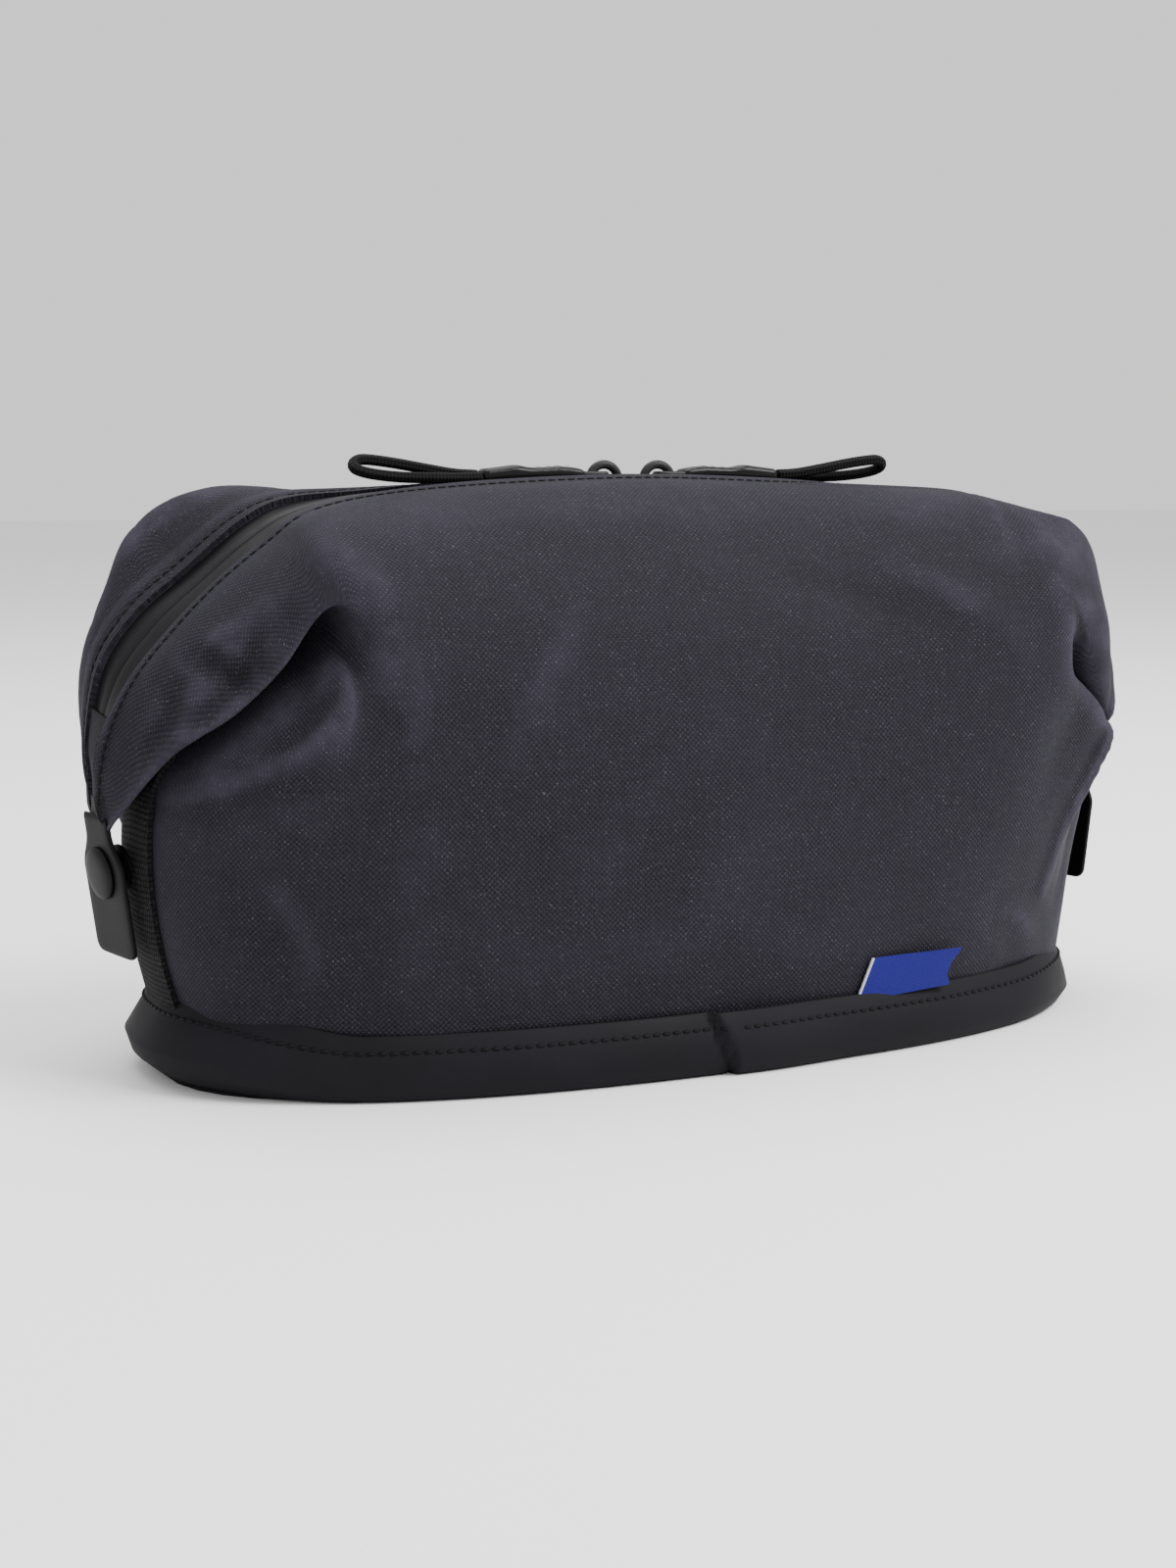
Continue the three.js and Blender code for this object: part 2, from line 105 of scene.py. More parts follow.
def make_light(name, place, target, size, power):
    """Square softbox that faces its target."""
    data = bpy.data.lights.new(name, "AREA")
    data.shape = "SQUARE"
    data.size = size
    data.energy = power
    light = bpy.data.objects.new(name, data)
    away = np.array(place, float) - np.array(target, float)
    light.location = place
    flat = math.hypot(away[0], away[1])
    light.rotation_euler = (math.atan2(flat, away[2]), 0, math.atan2(away[0], -away[1]))
    bpy.context.collection.objects.link(light)


# ---------------------------------------------------------------- arrays into meshes
def spline(rows, per):
    """Catmull-Rom curve through rows along the first axis, with per steps to each span:
    half of 2b + (c - a) t + (2a - 5b + 4c - d) t^2 + (3b - a - 3c + d) t^3."""
    rows = np.asarray(rows, float)
    ends = (2 * rows[:1] - rows[1:2], 2 * rows[-1:] - rows[-2:-1])
    p = np.concatenate([ends[0], rows, ends[1]])
    a, b, c, d = p[:-3], p[1:-2], p[2:-1], p[3:]
    t = (np.arange(per) / per).reshape((1, per) + (1,) * (rows.ndim - 1))
    a, b, c, d = (q[:, None] for q in (a, b, c, d))
    body = 0.5 * (2 * b + (c - a) * t + (2 * a - 5 * b + 4 * c - d) * t**2 + (3 * b - a - 3 * c + d) * t**3)
    return np.concatenate([body.reshape((-1,) + rows.shape[1:]), rows[-1:]])


def smoothstep(x, low, high):
    """3t^2 - 2t^3 of x's share of the way from low to high."""
    t = np.clip((np.asarray(x, float) - low) / (high - low), 0, 1)
    return t * t * (3 - 2 * t)


def unit(v):
    """Vectors along the last axis over their lengths."""
    return v / np.maximum(np.linalg.norm(v, axis=-1, keepdims=True), 1e-12)


def grid_normals(grid):
    """Unit cross product of a grid's two directions, first by second."""
    return unit(np.cross(np.gradient(grid, axis=0), np.gradient(grid, axis=1)))


def along(points):
    """Distance travelled along a row of points."""
    steps = np.linalg.norm(np.diff(points, axis=0), axis=-1)
    return np.concatenate([[0.0], np.cumsum(steps)])


def resample(points, count=None, step=None):
    """Points at even distances along a polyline, by their count or by the step between them."""
    travelled = along(points)
    count = count or max(2, int(round(travelled[-1] / step)) + 1)
    at = np.linspace(0, travelled[-1], count)
    return np.stack([np.interp(at, travelled, points[:, k]) for k in range(points.shape[1])], axis=1)


def least_turning(centres):
    """Two unit vectors across a path, each carried on from the last by dropping its part along the path."""
    tangent = unit(np.gradient(centres, axis=0))
    side = np.empty_like(centres)
    start = np.array([0.0, 1.0, 0.0]) if abs(tangent[0, 1]) < 0.9 else np.array([1.0, 0.0, 0.0])
    side[0] = unit(start - tangent[0] * (start @ tangent[0]))
    for k in range(1, len(centres)):
        side[k] = unit(side[k - 1] - tangent[k] * (side[k - 1] @ tangent[k]))
    return side, np.cross(tangent, side)


def new_piece(name, points, faces, material, uv=None, attributes=None):
    """Smooth mesh object from points in millimetres, with its uv and attributes given per point."""
    mesh = bpy.data.meshes.new(name)
    mesh.from_pydata((np.asarray(points) * MM).tolist(), [], faces)
    mesh.polygons.foreach_set("use_smooth", np.ones(len(mesh.polygons), bool))
    if uv is not None:
        corner = np.empty(len(mesh.loops), int)
        mesh.loops.foreach_get("vertex_index", corner)
        layer = mesh.uv_layers.new(name="cloth")
        layer.data.foreach_set("uv", np.asarray(uv, np.float32)[corner].ravel())
    for key, values in (attributes or {}).items():
        layer = mesh.attributes.new(key, "FLOAT", "POINT")
        layer.data.foreach_set("value", np.asarray(values, np.float32))
    mesh.materials.append(material)
    mesh.update()
    piece = bpy.data.objects.new(name, mesh)
    bpy.context.collection.objects.link(piece)
    return piece


def turned_out(piece):
    """A piece's closed mesh with its faces pointing outwards."""
    work = bmesh.new()
    work.from_mesh(piece.data)
    bmesh.ops.recalc_face_normals(work, faces=work.faces)
    work.to_mesh(piece.data)
    work.free()
    return piece


def grid_faces(rows, cols, wrap_rows=False, wrap_cols=False):
    """Quads of a grid of points, row by row."""
    i, j = np.meshgrid(np.arange(rows - (not wrap_rows)), np.arange(cols - (not wrap_cols)), indexing="ij")
    i2, j2 = (i + 1) % rows, (j + 1) % cols
    return np.stack([i * cols + j, i2 * cols + j, i2 * cols + j2, i * cols + j2], axis=-1).reshape(-1, 4)


def shell(name, grid, thick, material, keep=None, uv=None, attributes=None, normals=None):
    """Closed cloth from a grid of outer points and the thickness behind each: the kept quads, the same
    quads moved in along the normals and turned over, and a rim where a quad has no neighbour."""
    rows, cols = grid.shape[:2]
    normals = grid_normals(grid) if normals is None else normals
    quads = grid_faces(rows, cols)
    if keep is not None:
        quads = quads[keep.ravel()]
    used, quads = np.unique(quads, return_inverse=True)
    quads = quads.reshape(-1, 4)
    count = len(used)
    outer = grid.reshape(-1, 3)[used]
    facing = normals.reshape(-1, 3)[used]
    depth = np.broadcast_to(thick, (rows, cols)).reshape(-1, 1)[used]
    edges = np.stack([quads, np.roll(quads, -1, axis=1)], axis=-1).reshape(-1, 2)
    forward = edges[:, 0] * count + edges[:, 1]
    backward = edges[:, 1] * count + edges[:, 0]
    rim = edges[~np.isin(forward, backward)]
    sides = np.stack([rim[:, 1], rim[:, 0], rim[:, 0] + count, rim[:, 1] + count], axis=1)
    faces = np.concatenate([quads, quads[:, ::-1] + count, sides])
    points = np.concatenate([outer, outer - facing * depth])
    double = lambda a: np.concatenate([a.reshape((rows * cols,) + a.shape[2:])[used]] * 2)
    piece = new_piece(
        name,
        points,
        faces.tolist(),
        material,
        uv=None if uv is None else double(uv),
        attributes={k: double(v) for k, v in (attributes or {}).items()},
    )
    flat = np.cross(points[sides[:, 1]] - points[sides[:, 0]], points[sides[:, 3]] - points[sides[:, 0]])
    corner_normals = np.concatenate(
        [facing[quads].reshape(-1, 3), -facing[quads[:, ::-1]].reshape(-1, 3), np.repeat(unit(flat), 4, axis=0)]
    )
    piece.data.normals_split_custom_set(corner_normals.astype(np.float32).tolist())
    return piece


def tube(centres, radius, sides, name, material):
    """Closed round tube carried along centres, with its length and its turn round as its cloth UV."""
    centres = np.asarray(centres, float)
    side, up = least_turning(centres)
    angle = np.linspace(0, 2 * np.pi, sides, endpoint=False)
    ring = side[:, None] * np.cos(angle)[:, None] + up[:, None] * np.sin(angle)[:, None]
    points = (centres[:, None] + ring * radius).reshape(-1, 3)
    faces = grid_faces(len(centres), sides, wrap_cols=True)[:, ::-1].tolist()
    for row, order in ((0, 1), (len(centres) - 1, -1)):
        loop = row * sides + np.arange(sides)
        pairs = np.stack([loop, np.roll(loop, -1)], axis=1)[:, ::order]
        faces += np.column_stack([pairs, np.full(sides, len(points))]).tolist()
        points = np.concatenate([points, centres[row : row + 1]])
    lengthways = np.repeat(along(centres), sides)
    around = np.tile(angle / (2 * np.pi), len(centres))
    cloth = np.concatenate([np.stack([lengthways, around], axis=1), [[0, 0], [lengthways[-1], 0]]])
    return turned_out(new_piece(name, points, faces, material, cloth))


def turned(name, profile, centre, axis, material, sides=48):
    """Solid of revolution: radius and height pairs about an axis, closed on the axis or on itself."""
    axis = unit(np.asarray(axis, float))
    side = unit(np.cross(axis, [0.0, 0.0, 1.0] if abs(axis[2]) < 0.9 else [1.0, 0.0, 0.0]))
    other = np.cross(axis, side)
    profile = np.asarray(profile, float)
    closed = profile[0, 0] > 1e-6
    angle = np.linspace(0, 2 * np.pi, sides, endpoint=False)
    ring = side * np.cos(angle)[:, None] + other * np.sin(angle)[:, None]
    body = profile if closed else profile[1:-1]
    points = (centre + body[:, None, 1:2] * axis + body[:, None, :1] * ring[None]).reshape(-1, 3)
    faces = grid_faces(len(body), sides, wrap_rows=closed, wrap_cols=True).tolist()
    if not closed:
        for row, height in ((0, profile[0, 1]), (len(body) - 1, profile[-1, 1])):
            middle = len(points)
            points = np.concatenate([points, [centre + height * axis]])
            loop = row * sides + np.arange(sides)
            faces += [[int(a), int(b), middle] for a, b in zip(loop, np.roll(loop, -1))]
    return turned_out(new_piece(name, points, faces, material))


# ---------------------------------------------------------------- material tools
def put(tree, kind, links=None, **settings):
    """Node with its settings, whose sockets take a value or another node's output."""
    node = tree.nodes.new(kind)
    for key, value in settings.items():
        setattr(node, key, value)
    for key, value in (links or {}).items():
        socket = node.inputs[key]
        if isinstance(value, bpy.types.NodeSocket):
            tree.links.new(value, socket)
        else:
            socket.default_value = value
    return node


def calc(tree, operation, a, b=0.0, c=0.0, clamp=False):
    """Output of a Math node."""
    return put(tree, "ShaderNodeMath", {0: a, 1: b, 2: c}, operation=operation, use_clamp=clamp).outputs[0]


def ramp(tree, value, low, high, out_low=0.0, out_high=1.0):
    """Value's share of the way from low to high, held to the two outputs' range."""
    links = {"Value": value, "From Min": low, "From Max": high, "To Min": out_low, "To Max": out_high}
    return put(tree, "ShaderNodeMapRange", links).outputs["Result"]


def blend_colours(tree, share, a, b):
    """Colour a turned towards colour b by a share."""
    return put(tree, "ShaderNodeMix", {"Factor": share, 6: a, 7: b}, data_type="RGBA").outputs[2]


def noise(tree, vector, scale, detail=3.0, rough=0.5):
    """Cloudy noise from 0 to 1."""
    links = {"Vector": vector, "Scale": scale, "Detail": detail, "Roughness": rough}
    return put(tree, "ShaderNodeTexNoise", links).outputs["Fac"]


def group(name, inputs, outputs):
    """Empty node group with its sockets: name and default pairs in, name and kind pairs out."""
    tree = bpy.data.node_groups.new(name, "ShaderNodeTree")
    for key, value in inputs:
        socket = tree.interface.new_socket(key, in_out="INPUT", socket_type="NodeSocketFloat")
        socket.default_value = value
    for key, kind in outputs:
        tree.interface.new_socket(key, in_out="OUTPUT", socket_type=kind)
    return tree, tree.nodes.new("NodeGroupInput").outputs, tree.nodes.new("NodeGroupOutput").inputs


def weave_group():
    """Plain weave on the cloth's own UV, in millimetres: sin(pi u / pitch) sin(pi v / pitch), with threads
    that wander and differ in shade. Gives a height, a thread mask and each thread's own shade."""
    tree, given, result = group(
        "plain weave",
        [("Pitch", 0.7), ("Wander", 0.5)],
        [("Height", "NodeSocketFloat"), ("Thread", "NodeSocketFloat"), ("Shade", "NodeSocketFloat")],
    )
    uv = put(tree, "ShaderNodeUVMap", uv_map="cloth").outputs[0]
    split = put(tree, "ShaderNodeSeparateXYZ", {0: uv})
    waver = calc(tree, "SUBTRACT", noise(tree, uv, 0.35, 2), 0.5)
    turn = calc(tree, "DIVIDE", math.pi, given["Pitch"])
    waves = []
    shades = []
    for axis, other in ((0, 1), (1, 0)):
        at = calc(tree, "MULTIPLY_ADD", waver, given["Wander"], split.outputs[axis])
        waves.append(calc(tree, "SINE", calc(tree, "MULTIPLY", at, turn)))
        count = calc(tree, "FLOOR", calc(tree, "DIVIDE", at, given["Pitch"]))
        run = calc(tree, "MULTIPLY", split.outputs[other], 0.12)
        place = put(tree, "ShaderNodeCombineXYZ", {0: calc(tree, "MULTIPLY", count, 3.7), 1: run, 2: float(axis)})
        shades.append(noise(tree, place.outputs[0], 1.0, 2))
    over = calc(tree, "MULTIPLY", waves[0], waves[1])
    thread = calc(tree, "MULTIPLY_ADD", over, 0.5, 0.5)
    size = [calc(tree, "POWER", calc(tree, "ABSOLUTE", w), 0.6) for w in waves]
    pillow = calc(tree, "MULTIPLY", size[0], size[1])
    tree.links.new(calc(tree, "MULTIPLY_ADD", thread, 0.5, calc(tree, "MULTIPLY", pillow, 0.5)), result["Height"])
    tree.links.new(thread, result["Thread"])
    tree.links.new(calc(tree, "MULTIPLY", calc(tree, "ADD", shades[0], shades[1]), 0.5), result["Shade"])
    return tree


def grain_group():
    """Fine grain of a coated or moulded skin on object coordinates, with faint smudges."""
    tree, given, result = group(
        "skin grain",
        [("Scale", 900.0), ("Smudge scale", 30.0)],
        [("Height", "NodeSocketFloat"), ("Smudge", "NodeSocketFloat")],
    )
    place = put(tree, "ShaderNodeTexCoord").outputs["Object"]
    cells = put(tree, "ShaderNodeTexVoronoi", {"Vector": place, "Scale": given["Scale"]})
    fine = noise(tree, place, given["Scale"], 3)
    tree.links.new(calc(tree, "MULTIPLY_ADD", cells.outputs["Distance"], 0.5, fine), result["Height"])
    tree.links.new(ramp(tree, noise(tree, place, given["Smudge scale"], 4), 0.35, 0.7), result["Smudge"])
    return tree


def wear_and_shade_group():
    """Worn cloth with painted shade: pale where the stored crease is high, cloudy where wax has thinned, with light
    specks. Gives one mask for the pale worn look, one for painted shade in the hollows and one for specks."""
    tree, given, result = group(
        "cloth wear",
        [("Cloud scale", 18.0), ("Speck scale", 2100.0)],
        [("Pale", "NodeSocketFloat"), ("Painted hollow shade", "NodeSocketFloat"), ("Specks", "NodeSocketFloat")],
    )
    place = put(tree, "ShaderNodeTexCoord").outputs["Object"]
    crease = put(tree, "ShaderNodeAttribute", attribute_name="crease").outputs["Fac"]
    cloud = noise(tree, place, given["Cloud scale"], 5, 0.6)
    streak = noise(tree, place, calc(tree, "MULTIPLY", given["Cloud scale"], 6.0), 4, 0.65)
    broken = ramp(tree, streak, 0.35, 0.65, 0.35, 1.0)
    ridge = calc(tree, "MULTIPLY", ramp(tree, crease, 0.1, 0.62), broken)
    wax = calc(tree, "MULTIPLY", ramp(tree, cloud, 0.45, 0.8), 0.1)
    tree.links.new(calc(tree, "ADD", ridge, wax, clamp=True), result["Pale"])
    # painted shade: this mask darkens the cloth where the stored crease is low, in the hollows under folds
    tree.links.new(ramp(tree, crease, -0.05, -0.6), result["Painted hollow shade"])
    speck = noise(tree, place, given["Speck scale"], 1)
    tree.links.new(calc(tree, "MULTIPLY", ramp(tree, speck, 0.62, 0.74), broken), result["Specks"])
    return tree


def rib_group():
    """Ribs across the cloth's V direction, in millimetres: each rib is the sine's upper half, notched by
    the warp along U."""
    tree, given, result = group(
        "ribs", [("Pitch", 1.3), ("Warp", 0.9)], [("Height", "NodeSocketFloat"), ("Groove", "NodeSocketFloat")]
    )
    split = put(tree, "ShaderNodeSeparateXYZ", {0: put(tree, "ShaderNodeUVMap", uv_map="cloth").outputs[0]})
    along_v = calc(tree, "DIVIDE", split.outputs[1], given["Pitch"])
    along_u = calc(tree, "DIVIDE", split.outputs[0], given["Warp"])
    rib = calc(tree, "ABSOLUTE", calc(tree, "SINE", calc(tree, "MULTIPLY", along_v, math.pi)))
    stagger = calc(tree, "MULTIPLY", calc(tree, "FLOOR", along_v), 0.5)
    notch = calc(tree, "SINE", calc(tree, "MULTIPLY", calc(tree, "ADD", along_u, stagger), math.pi))
    notch = calc(tree, "POWER", calc(tree, "ABSOLUTE", notch), 0.5)
    height = calc(tree, "MULTIPLY", calc(tree, "POWER", rib, 0.6), notch)
    tree.links.new(height, result["Height"])
    tree.links.new(calc(tree, "SUBTRACT", 1.0, height), result["Groove"])
    return tree


def material(name, **plain):
    """Material with one Principled shader, whose plain sockets take constants."""
    made = bpy.data.materials.new(name)
    made.use_nodes = True
    tree = made.node_tree
    shader = tree.nodes["Principled BSDF"]
    for key, value in plain.items():
        shader.inputs[key.replace("_", " ")].default_value = value
    return made, tree, shader


def bump(tree, shader, height, distance, strength):
    """Relief of a height from 0 to 1, whose full depth is the distance in millimetres."""
    node = put(tree, "ShaderNodeBump", {"Height": height, "Distance": distance * MM, "Strength": strength})
    tree.links.new(node.outputs["Normal"], shader.inputs["Normal"])


def use(tree, shared, **values):
    """Outputs of a shared node group placed in a material with its own values."""
    node = tree.nodes.new("ShaderNodeGroup")
    node.node_tree = shared
    for key, value in values.items():
        node.inputs[key.replace("_", " ")].default_value = value
    return node.outputs


def shade(tree, shader, colour, rough):
    """Colour and roughness that change over the surface, into the shader."""
    tree.links.new(colour, shader.inputs["Base Color"])
    tree.links.new(rough, shader.inputs["Roughness"])


def canvas_material(shared, name, dark, light, pitch=0.72):
    """Waxed plain-weave canvas: bluish charcoal threads, cloudy wax, pale worn creases and lint, with painted shade
    in its hollows.
    """
    made, tree, shader = material(name, Sheen_Weight=0.03, Sheen_Roughness=0.5, Specular_IOR_Level=0.06)
    shader.inputs["Sheen Tint"].default_value = (0.75, 0.78, 1.0, 1)
    weave = use(tree, shared["weave"], Pitch=pitch)
    wear_and_shade = use(tree, shared["wear_and_shade"])
    tone = calc(tree, "MULTIPLY_ADD", weave["Thread"], 0.6, calc(tree, "MULTIPLY", weave["Shade"], 0.5))
    colour = blend_colours(tree, ramp(tree, tone, 0.1, 0.95), dark, light)
    pale = tuple(min(1.0, 2.4 * c) for c in light[:3]) + (1,)
    colour = blend_colours(tree, calc(tree, "MULTIPLY", wear_and_shade["Pale"], 0.5), colour, pale)
    # painted shade: the colour is turned towards near black in the hollows, where the stored crease is low
    colour = blend_colours(tree, calc(tree, "MULTIPLY", wear_and_shade["Painted hollow shade"], 0.45), colour, (0.0012, 0.0012, 0.0018, 1))
    lint = calc(tree, "MULTIPLY", wear_and_shade["Specks"], weave["Thread"])
    colour = blend_colours(tree, calc(tree, "MULTIPLY", lint, 0.5), colour, (0.14, 0.14, 0.165, 1))
    rough = ramp(tree, wear_and_shade["Pale"], 0.0, 1.0, 0.62, 0.85)
    shade(tree, shader, colour, rough)
    bump(tree, shader, weave["Height"], 0.22, 0.8)
    return made


def coated_material(shared, name, colour, light, rough=(0.42, 0.58), grain=1400.0, depth=0.05):
    """Smooth coated cloth or moulded plastic: fine grain, with smudges that change its gloss."""
    made, tree, shader = material(name, Specular_IOR_Level=0.13)
    grain = use(tree, shared["grain"], Scale=grain)
    mixed = blend_colours(tree, calc(tree, "MULTIPLY", grain["Smudge"], 0.8), colour, light)
    shade(tree, shader, mixed, ramp(tree, grain["Smudge"], 0, 1, rough[0], rough[1]))
    bump(tree, shader, grain["Height"], depth, 0.6)
    return made


def ribbed_material(shared, name, colour, light, pitch, warp, depth=0.3, rough=0.8):
    """Ribbed woven tape: painted light on the ribs over painted shade in the grooves."""
    made, tree, shader = material(name, Specular_IOR_Level=0.08, Sheen_Weight=0.01)
    ribs = use(tree, shared["ribs"], Pitch=pitch, Warp=warp)
    wear_and_shade = use(tree, shared["wear_and_shade"])
    # painted light and shade: the light colour on the rib tops, the base colour in the grooves
    mixed = blend_colours(tree, ribs["Height"], colour, light)
    mixed = blend_colours(tree, calc(tree, "MULTIPLY", wear_and_shade["Specks"], 0.25), mixed, (0.2, 0.2, 0.22, 1))
    shade(tree, shader, mixed, ramp(tree, ribs["Groove"], 0, 1, rough - 0.1, 0.95))
    bump(tree, shader, ribs["Height"], depth, 0.9)
    return made


def braid_material(shared, name, colour, light):
    """Braided cord: two families of strands that wind opposite ways round it, from its own UV."""
    made, tree, shader = material(name, Specular_IOR_Level=0.12, Sheen_Weight=0.01)
    split = put(tree, "ShaderNodeSeparateXYZ", {0: put(tree, "ShaderNodeUVMap", uv_map="cloth").outputs[0]})
    around = calc(tree, "MULTIPLY", split.outputs[1], 6 * math.pi)
    lengthways = calc(tree, "MULTIPLY", split.outputs[0], math.pi / 1.0)
    one = calc(tree, "SINE", calc(tree, "ADD", lengthways, around))
    two = calc(tree, "SINE", calc(tree, "SUBTRACT", lengthways, around))
    strands = calc(tree, "MULTIPLY_ADD", calc(tree, "MULTIPLY", one, two), 0.5, 0.5)
    fine = use(tree, shared["grain"], Scale=2500.0)
    mixed = blend_colours(tree, strands, colour, light)
    shade(tree, shader, mixed, ramp(tree, fine["Smudge"], 0, 1, 0.7, 0.9))
    bump(tree, shader, calc(tree, "MULTIPLY_ADD", fine["Height"], 0.2, strands), 0.4, 1.0)
    return made


def label_material(shared):
    """Plain blue woven ribbon: fine ribs with painted light on their tops and painted shade between them, with a
    white selvedge at its left edge.
    """
    made, tree, shader = material("blue ribbon", Specular_IOR_Level=0.12, Sheen_Weight=0.02)
    split = put(tree, "ShaderNodeSeparateXYZ", {0: put(tree, "ShaderNodeUVMap", uv_map="cloth").outputs[0]})
    ribs = use(tree, shared["ribs"], Pitch=0.45, Warp=0.5)
    # painted light and shade: the blue is lighter on the rib tops and darker in the grooves
    blue = blend_colours(tree, ribs["Height"], (0.0048, 0.0042, 0.075, 1), (0.0135, 0.0105, 0.165, 1))
    edge = ramp(tree, split.outputs[0], 0.75, 0.55)
    colour = blend_colours(tree, edge, blue, (0.45, 0.46, 0.5, 1))
    shade(tree, shader, colour, ramp(tree, ribs["Groove"], 0, 1, 0.65, 0.85))
    bump(tree, shader, ribs["Height"], 0.12, 0.7)
    return made


def make_materials():
    """The object's finishes, by plain name."""
    shared = {"weave": weave_group(), "grain": grain_group(), "wear_and_shade": wear_and_shade_group(), "ribs": rib_group()}
    canvas = lambda *values, **more: canvas_material(shared, *values, **more)
    coated = lambda *values, **more: coated_material(shared, *values, **more)
    ribbed = lambda *values, **more: ribbed_material(shared, *values, **more)
    return {
        "canvas": canvas("waxed canvas", (0.0010, 0.0009, 0.0014, 1), (0.0228, 0.0203, 0.0282, 1)),
        "lining": canvas("grey lining", (0.04, 0.042, 0.05, 1), (0.07, 0.073, 0.085, 1), pitch=0.3),
        "band": coated("coated base cloth", (0.0034, 0.0030, 0.0046, 1), (0.0076, 0.0067, 0.0096, 1), (0.62, 0.76)),
        "tab": coated("coated tab", (0.0016, 0.0015, 0.0018, 1), (0.0034, 0.0033, 0.0037, 1), (0.55, 0.65)),
        "tape": coated("coated zip tape", (0.0055, 0.0053, 0.0063, 1), (0.0085, 0.0083, 0.0097, 1), (0.36, 0.5)),
        "cap": coated(
            "painted snap", (0.0038, 0.0037, 0.0042, 1), (0.0062, 0.006, 0.0066, 1), (0.5, 0.6), depth=0.01
        ),
        "slider": coated(
            "painted slider", (0.016, 0.016, 0.0175, 1), (0.023, 0.0225, 0.024, 1), (0.36, 0.46), depth=0.02
        ),
        "grip": coated(
            "moulded grip", (0.005, 0.005, 0.0055, 1), (0.009, 0.009, 0.0095, 1), (0.2, 0.32), depth=0.03
        ),
        "thread": coated(
            "sewing thread", (0.002, 0.002, 0.0024, 1), (0.005, 0.005, 0.006, 1), (0.55, 0.7), grain=2400.0
        ),
        "board": coated("stiffening board", (0.02, 0.02, 0.021, 1), (0.03, 0.03, 0.031, 1), (0.7, 0.8)),
        "webbing": ribbed(
            "ribbed webbing", (0.0012, 0.0012, 0.0014, 1), (0.0105, 0.0105, 0.0115, 1), pitch=1.5, warp=1.1
        ),
        "garage": ribbed(
            "ribbed zip end", (0.004, 0.004, 0.005, 1), (0.018, 0.0175, 0.021, 1), pitch=0.9, warp=40.0, depth=0.15
        ),
        "cord": braid_material(shared, "braided cord", (0.0006, 0.0006, 0.0006, 1), (0.005, 0.005, 0.005, 1)),
        "label": label_material(shared),
    }


# ---------------------------------------------------------------- the canvas
# Points of the canvas from the middle of the front to one end, each row running up from the base
# seam: base, low, belly, high, lip of the fold, its inner crease, its underside, its edge, low crown,
# crown, roll beside the zip, and the zip's edge.
MIDDLE = [
    [(0, -59.5, 13), (0, -61, 36), (0, -60.8, 58), (0, -59, 80),
     (0, -56.5, 95), (0, -53.5, 106), (0, -49.8, 116), (0, -45, 125.5),
     (0, -38, 136), (0, -27.5, 147.5), (0, -15.5, 154.8), (0, -7, 156.2)],
    [(45, -58, 13), (45.5, -59.5, 36), (46, -59.5, 58), (46, -58, 80),
     (46, -55.7, 95), (46, -53, 106), (46, -49.5, 116), (45.5, -45, 125.5),
     (45, -38, 136), (45, -28, 146.5), (45, -15.5, 153.4), (45, -7, 154.8)],
]
FOLDED_END = [
    [(80, -53, 13), (81, -55, 36), (81.5, -55.8, 58), (81, -55.6, 80),
     (80, -54.6, 95), (79.2, -53, 107), (79, -50.2, 117), (79, -46.2, 126.5),
     (79, -39, 137), (79, -28, 146.5), (78.5, -15.5, 151.2), (78, -7, 151.6)],
    [(98, -46.4, 13), (100, -49, 36), (100.5, -51, 58), (99.5, -52.2, 80),
     (97, -52.4, 98), (95, -51.4, 110), (95, -50, 119), (96, -47.2, 127.5),
     (97, -39.5, 136.5), (98, -28.5, 143.5), (98, -15.5, 147.2), (97.5, -7, 147)],
    [(110, -40.5, 13), (112.5, -44, 36), (112.5, -47.2, 58), (109, -49.8, 80),
     (102, -51, 104), (101, -32, 119), (103, -35, 125), (105, -43.8, 123.5),
     (106, -39, 131), (107.2, -27.5, 137), (108.3, -15.5, 140), (109, -7, 139.4)],
    [(121, -34, 13), (124, -37.5, 36), (124, -40.8, 58), (120, -44.6, 78),
     (112.5, -47, 95), (105, -26, 116), (109, -30, 116), (115, -40, 108.5),
     (117, -37, 117.5), (119, -27, 126), (121.3, -15, 130), (122.5, -7, 128.6)],
    [(129.5, -26.5, 13), (132, -29.5, 36), (133, -32, 56), (130.5, -35, 74),
     (125, -37.5, 87), (109, -20, 114), (117, -25, 107), (126.5, -35, 97),
     (129.5, -32.5, 106), (131.8, -24.5, 113.5), (133.5, -15, 118), (134, -7, 117.5)],
    [(132.5, -17, 13), (138.2, -19, 36), (140, -20, 56), (139, -21.8, 72),
     (134.5, -22.5, 83), (111, -11, 113), (125, -17, 101), (139.5, -26.5, 87.5),
     (142.5, -23.5, 94), (144, -18, 100), (144.8, -12, 104.5), (145, -7, 104.5)],
    [(134.8, -8, 13), (140.8, -8, 36), (143, -8, 56), (142, -8, 72.5),
     (138, -8, 84.5), (113.5, -5, 112.5), (131, -8, 98), (149.4, -13.6, 71.5),
     (150.8, -13.6, 76.5), (152.2, -11.6, 83), (152.8, -9, 88), (153.2, -7, 88.5)],
    [(135, -0.2, 13), (141, -0.2, 36), (143.3, -0.2, 56), (142.4, -0.2, 72.5),
     (138.6, -0.2, 84.5), (114, -0.2, 112.5), (132, -0.2, 97), (149.2, -0.6, 67.2),
     (151.4, -3.6, 67.6), (153.2, -6, 69.5), (154.4, -7.4, 72.5), (154.8, -7, 75)],
]
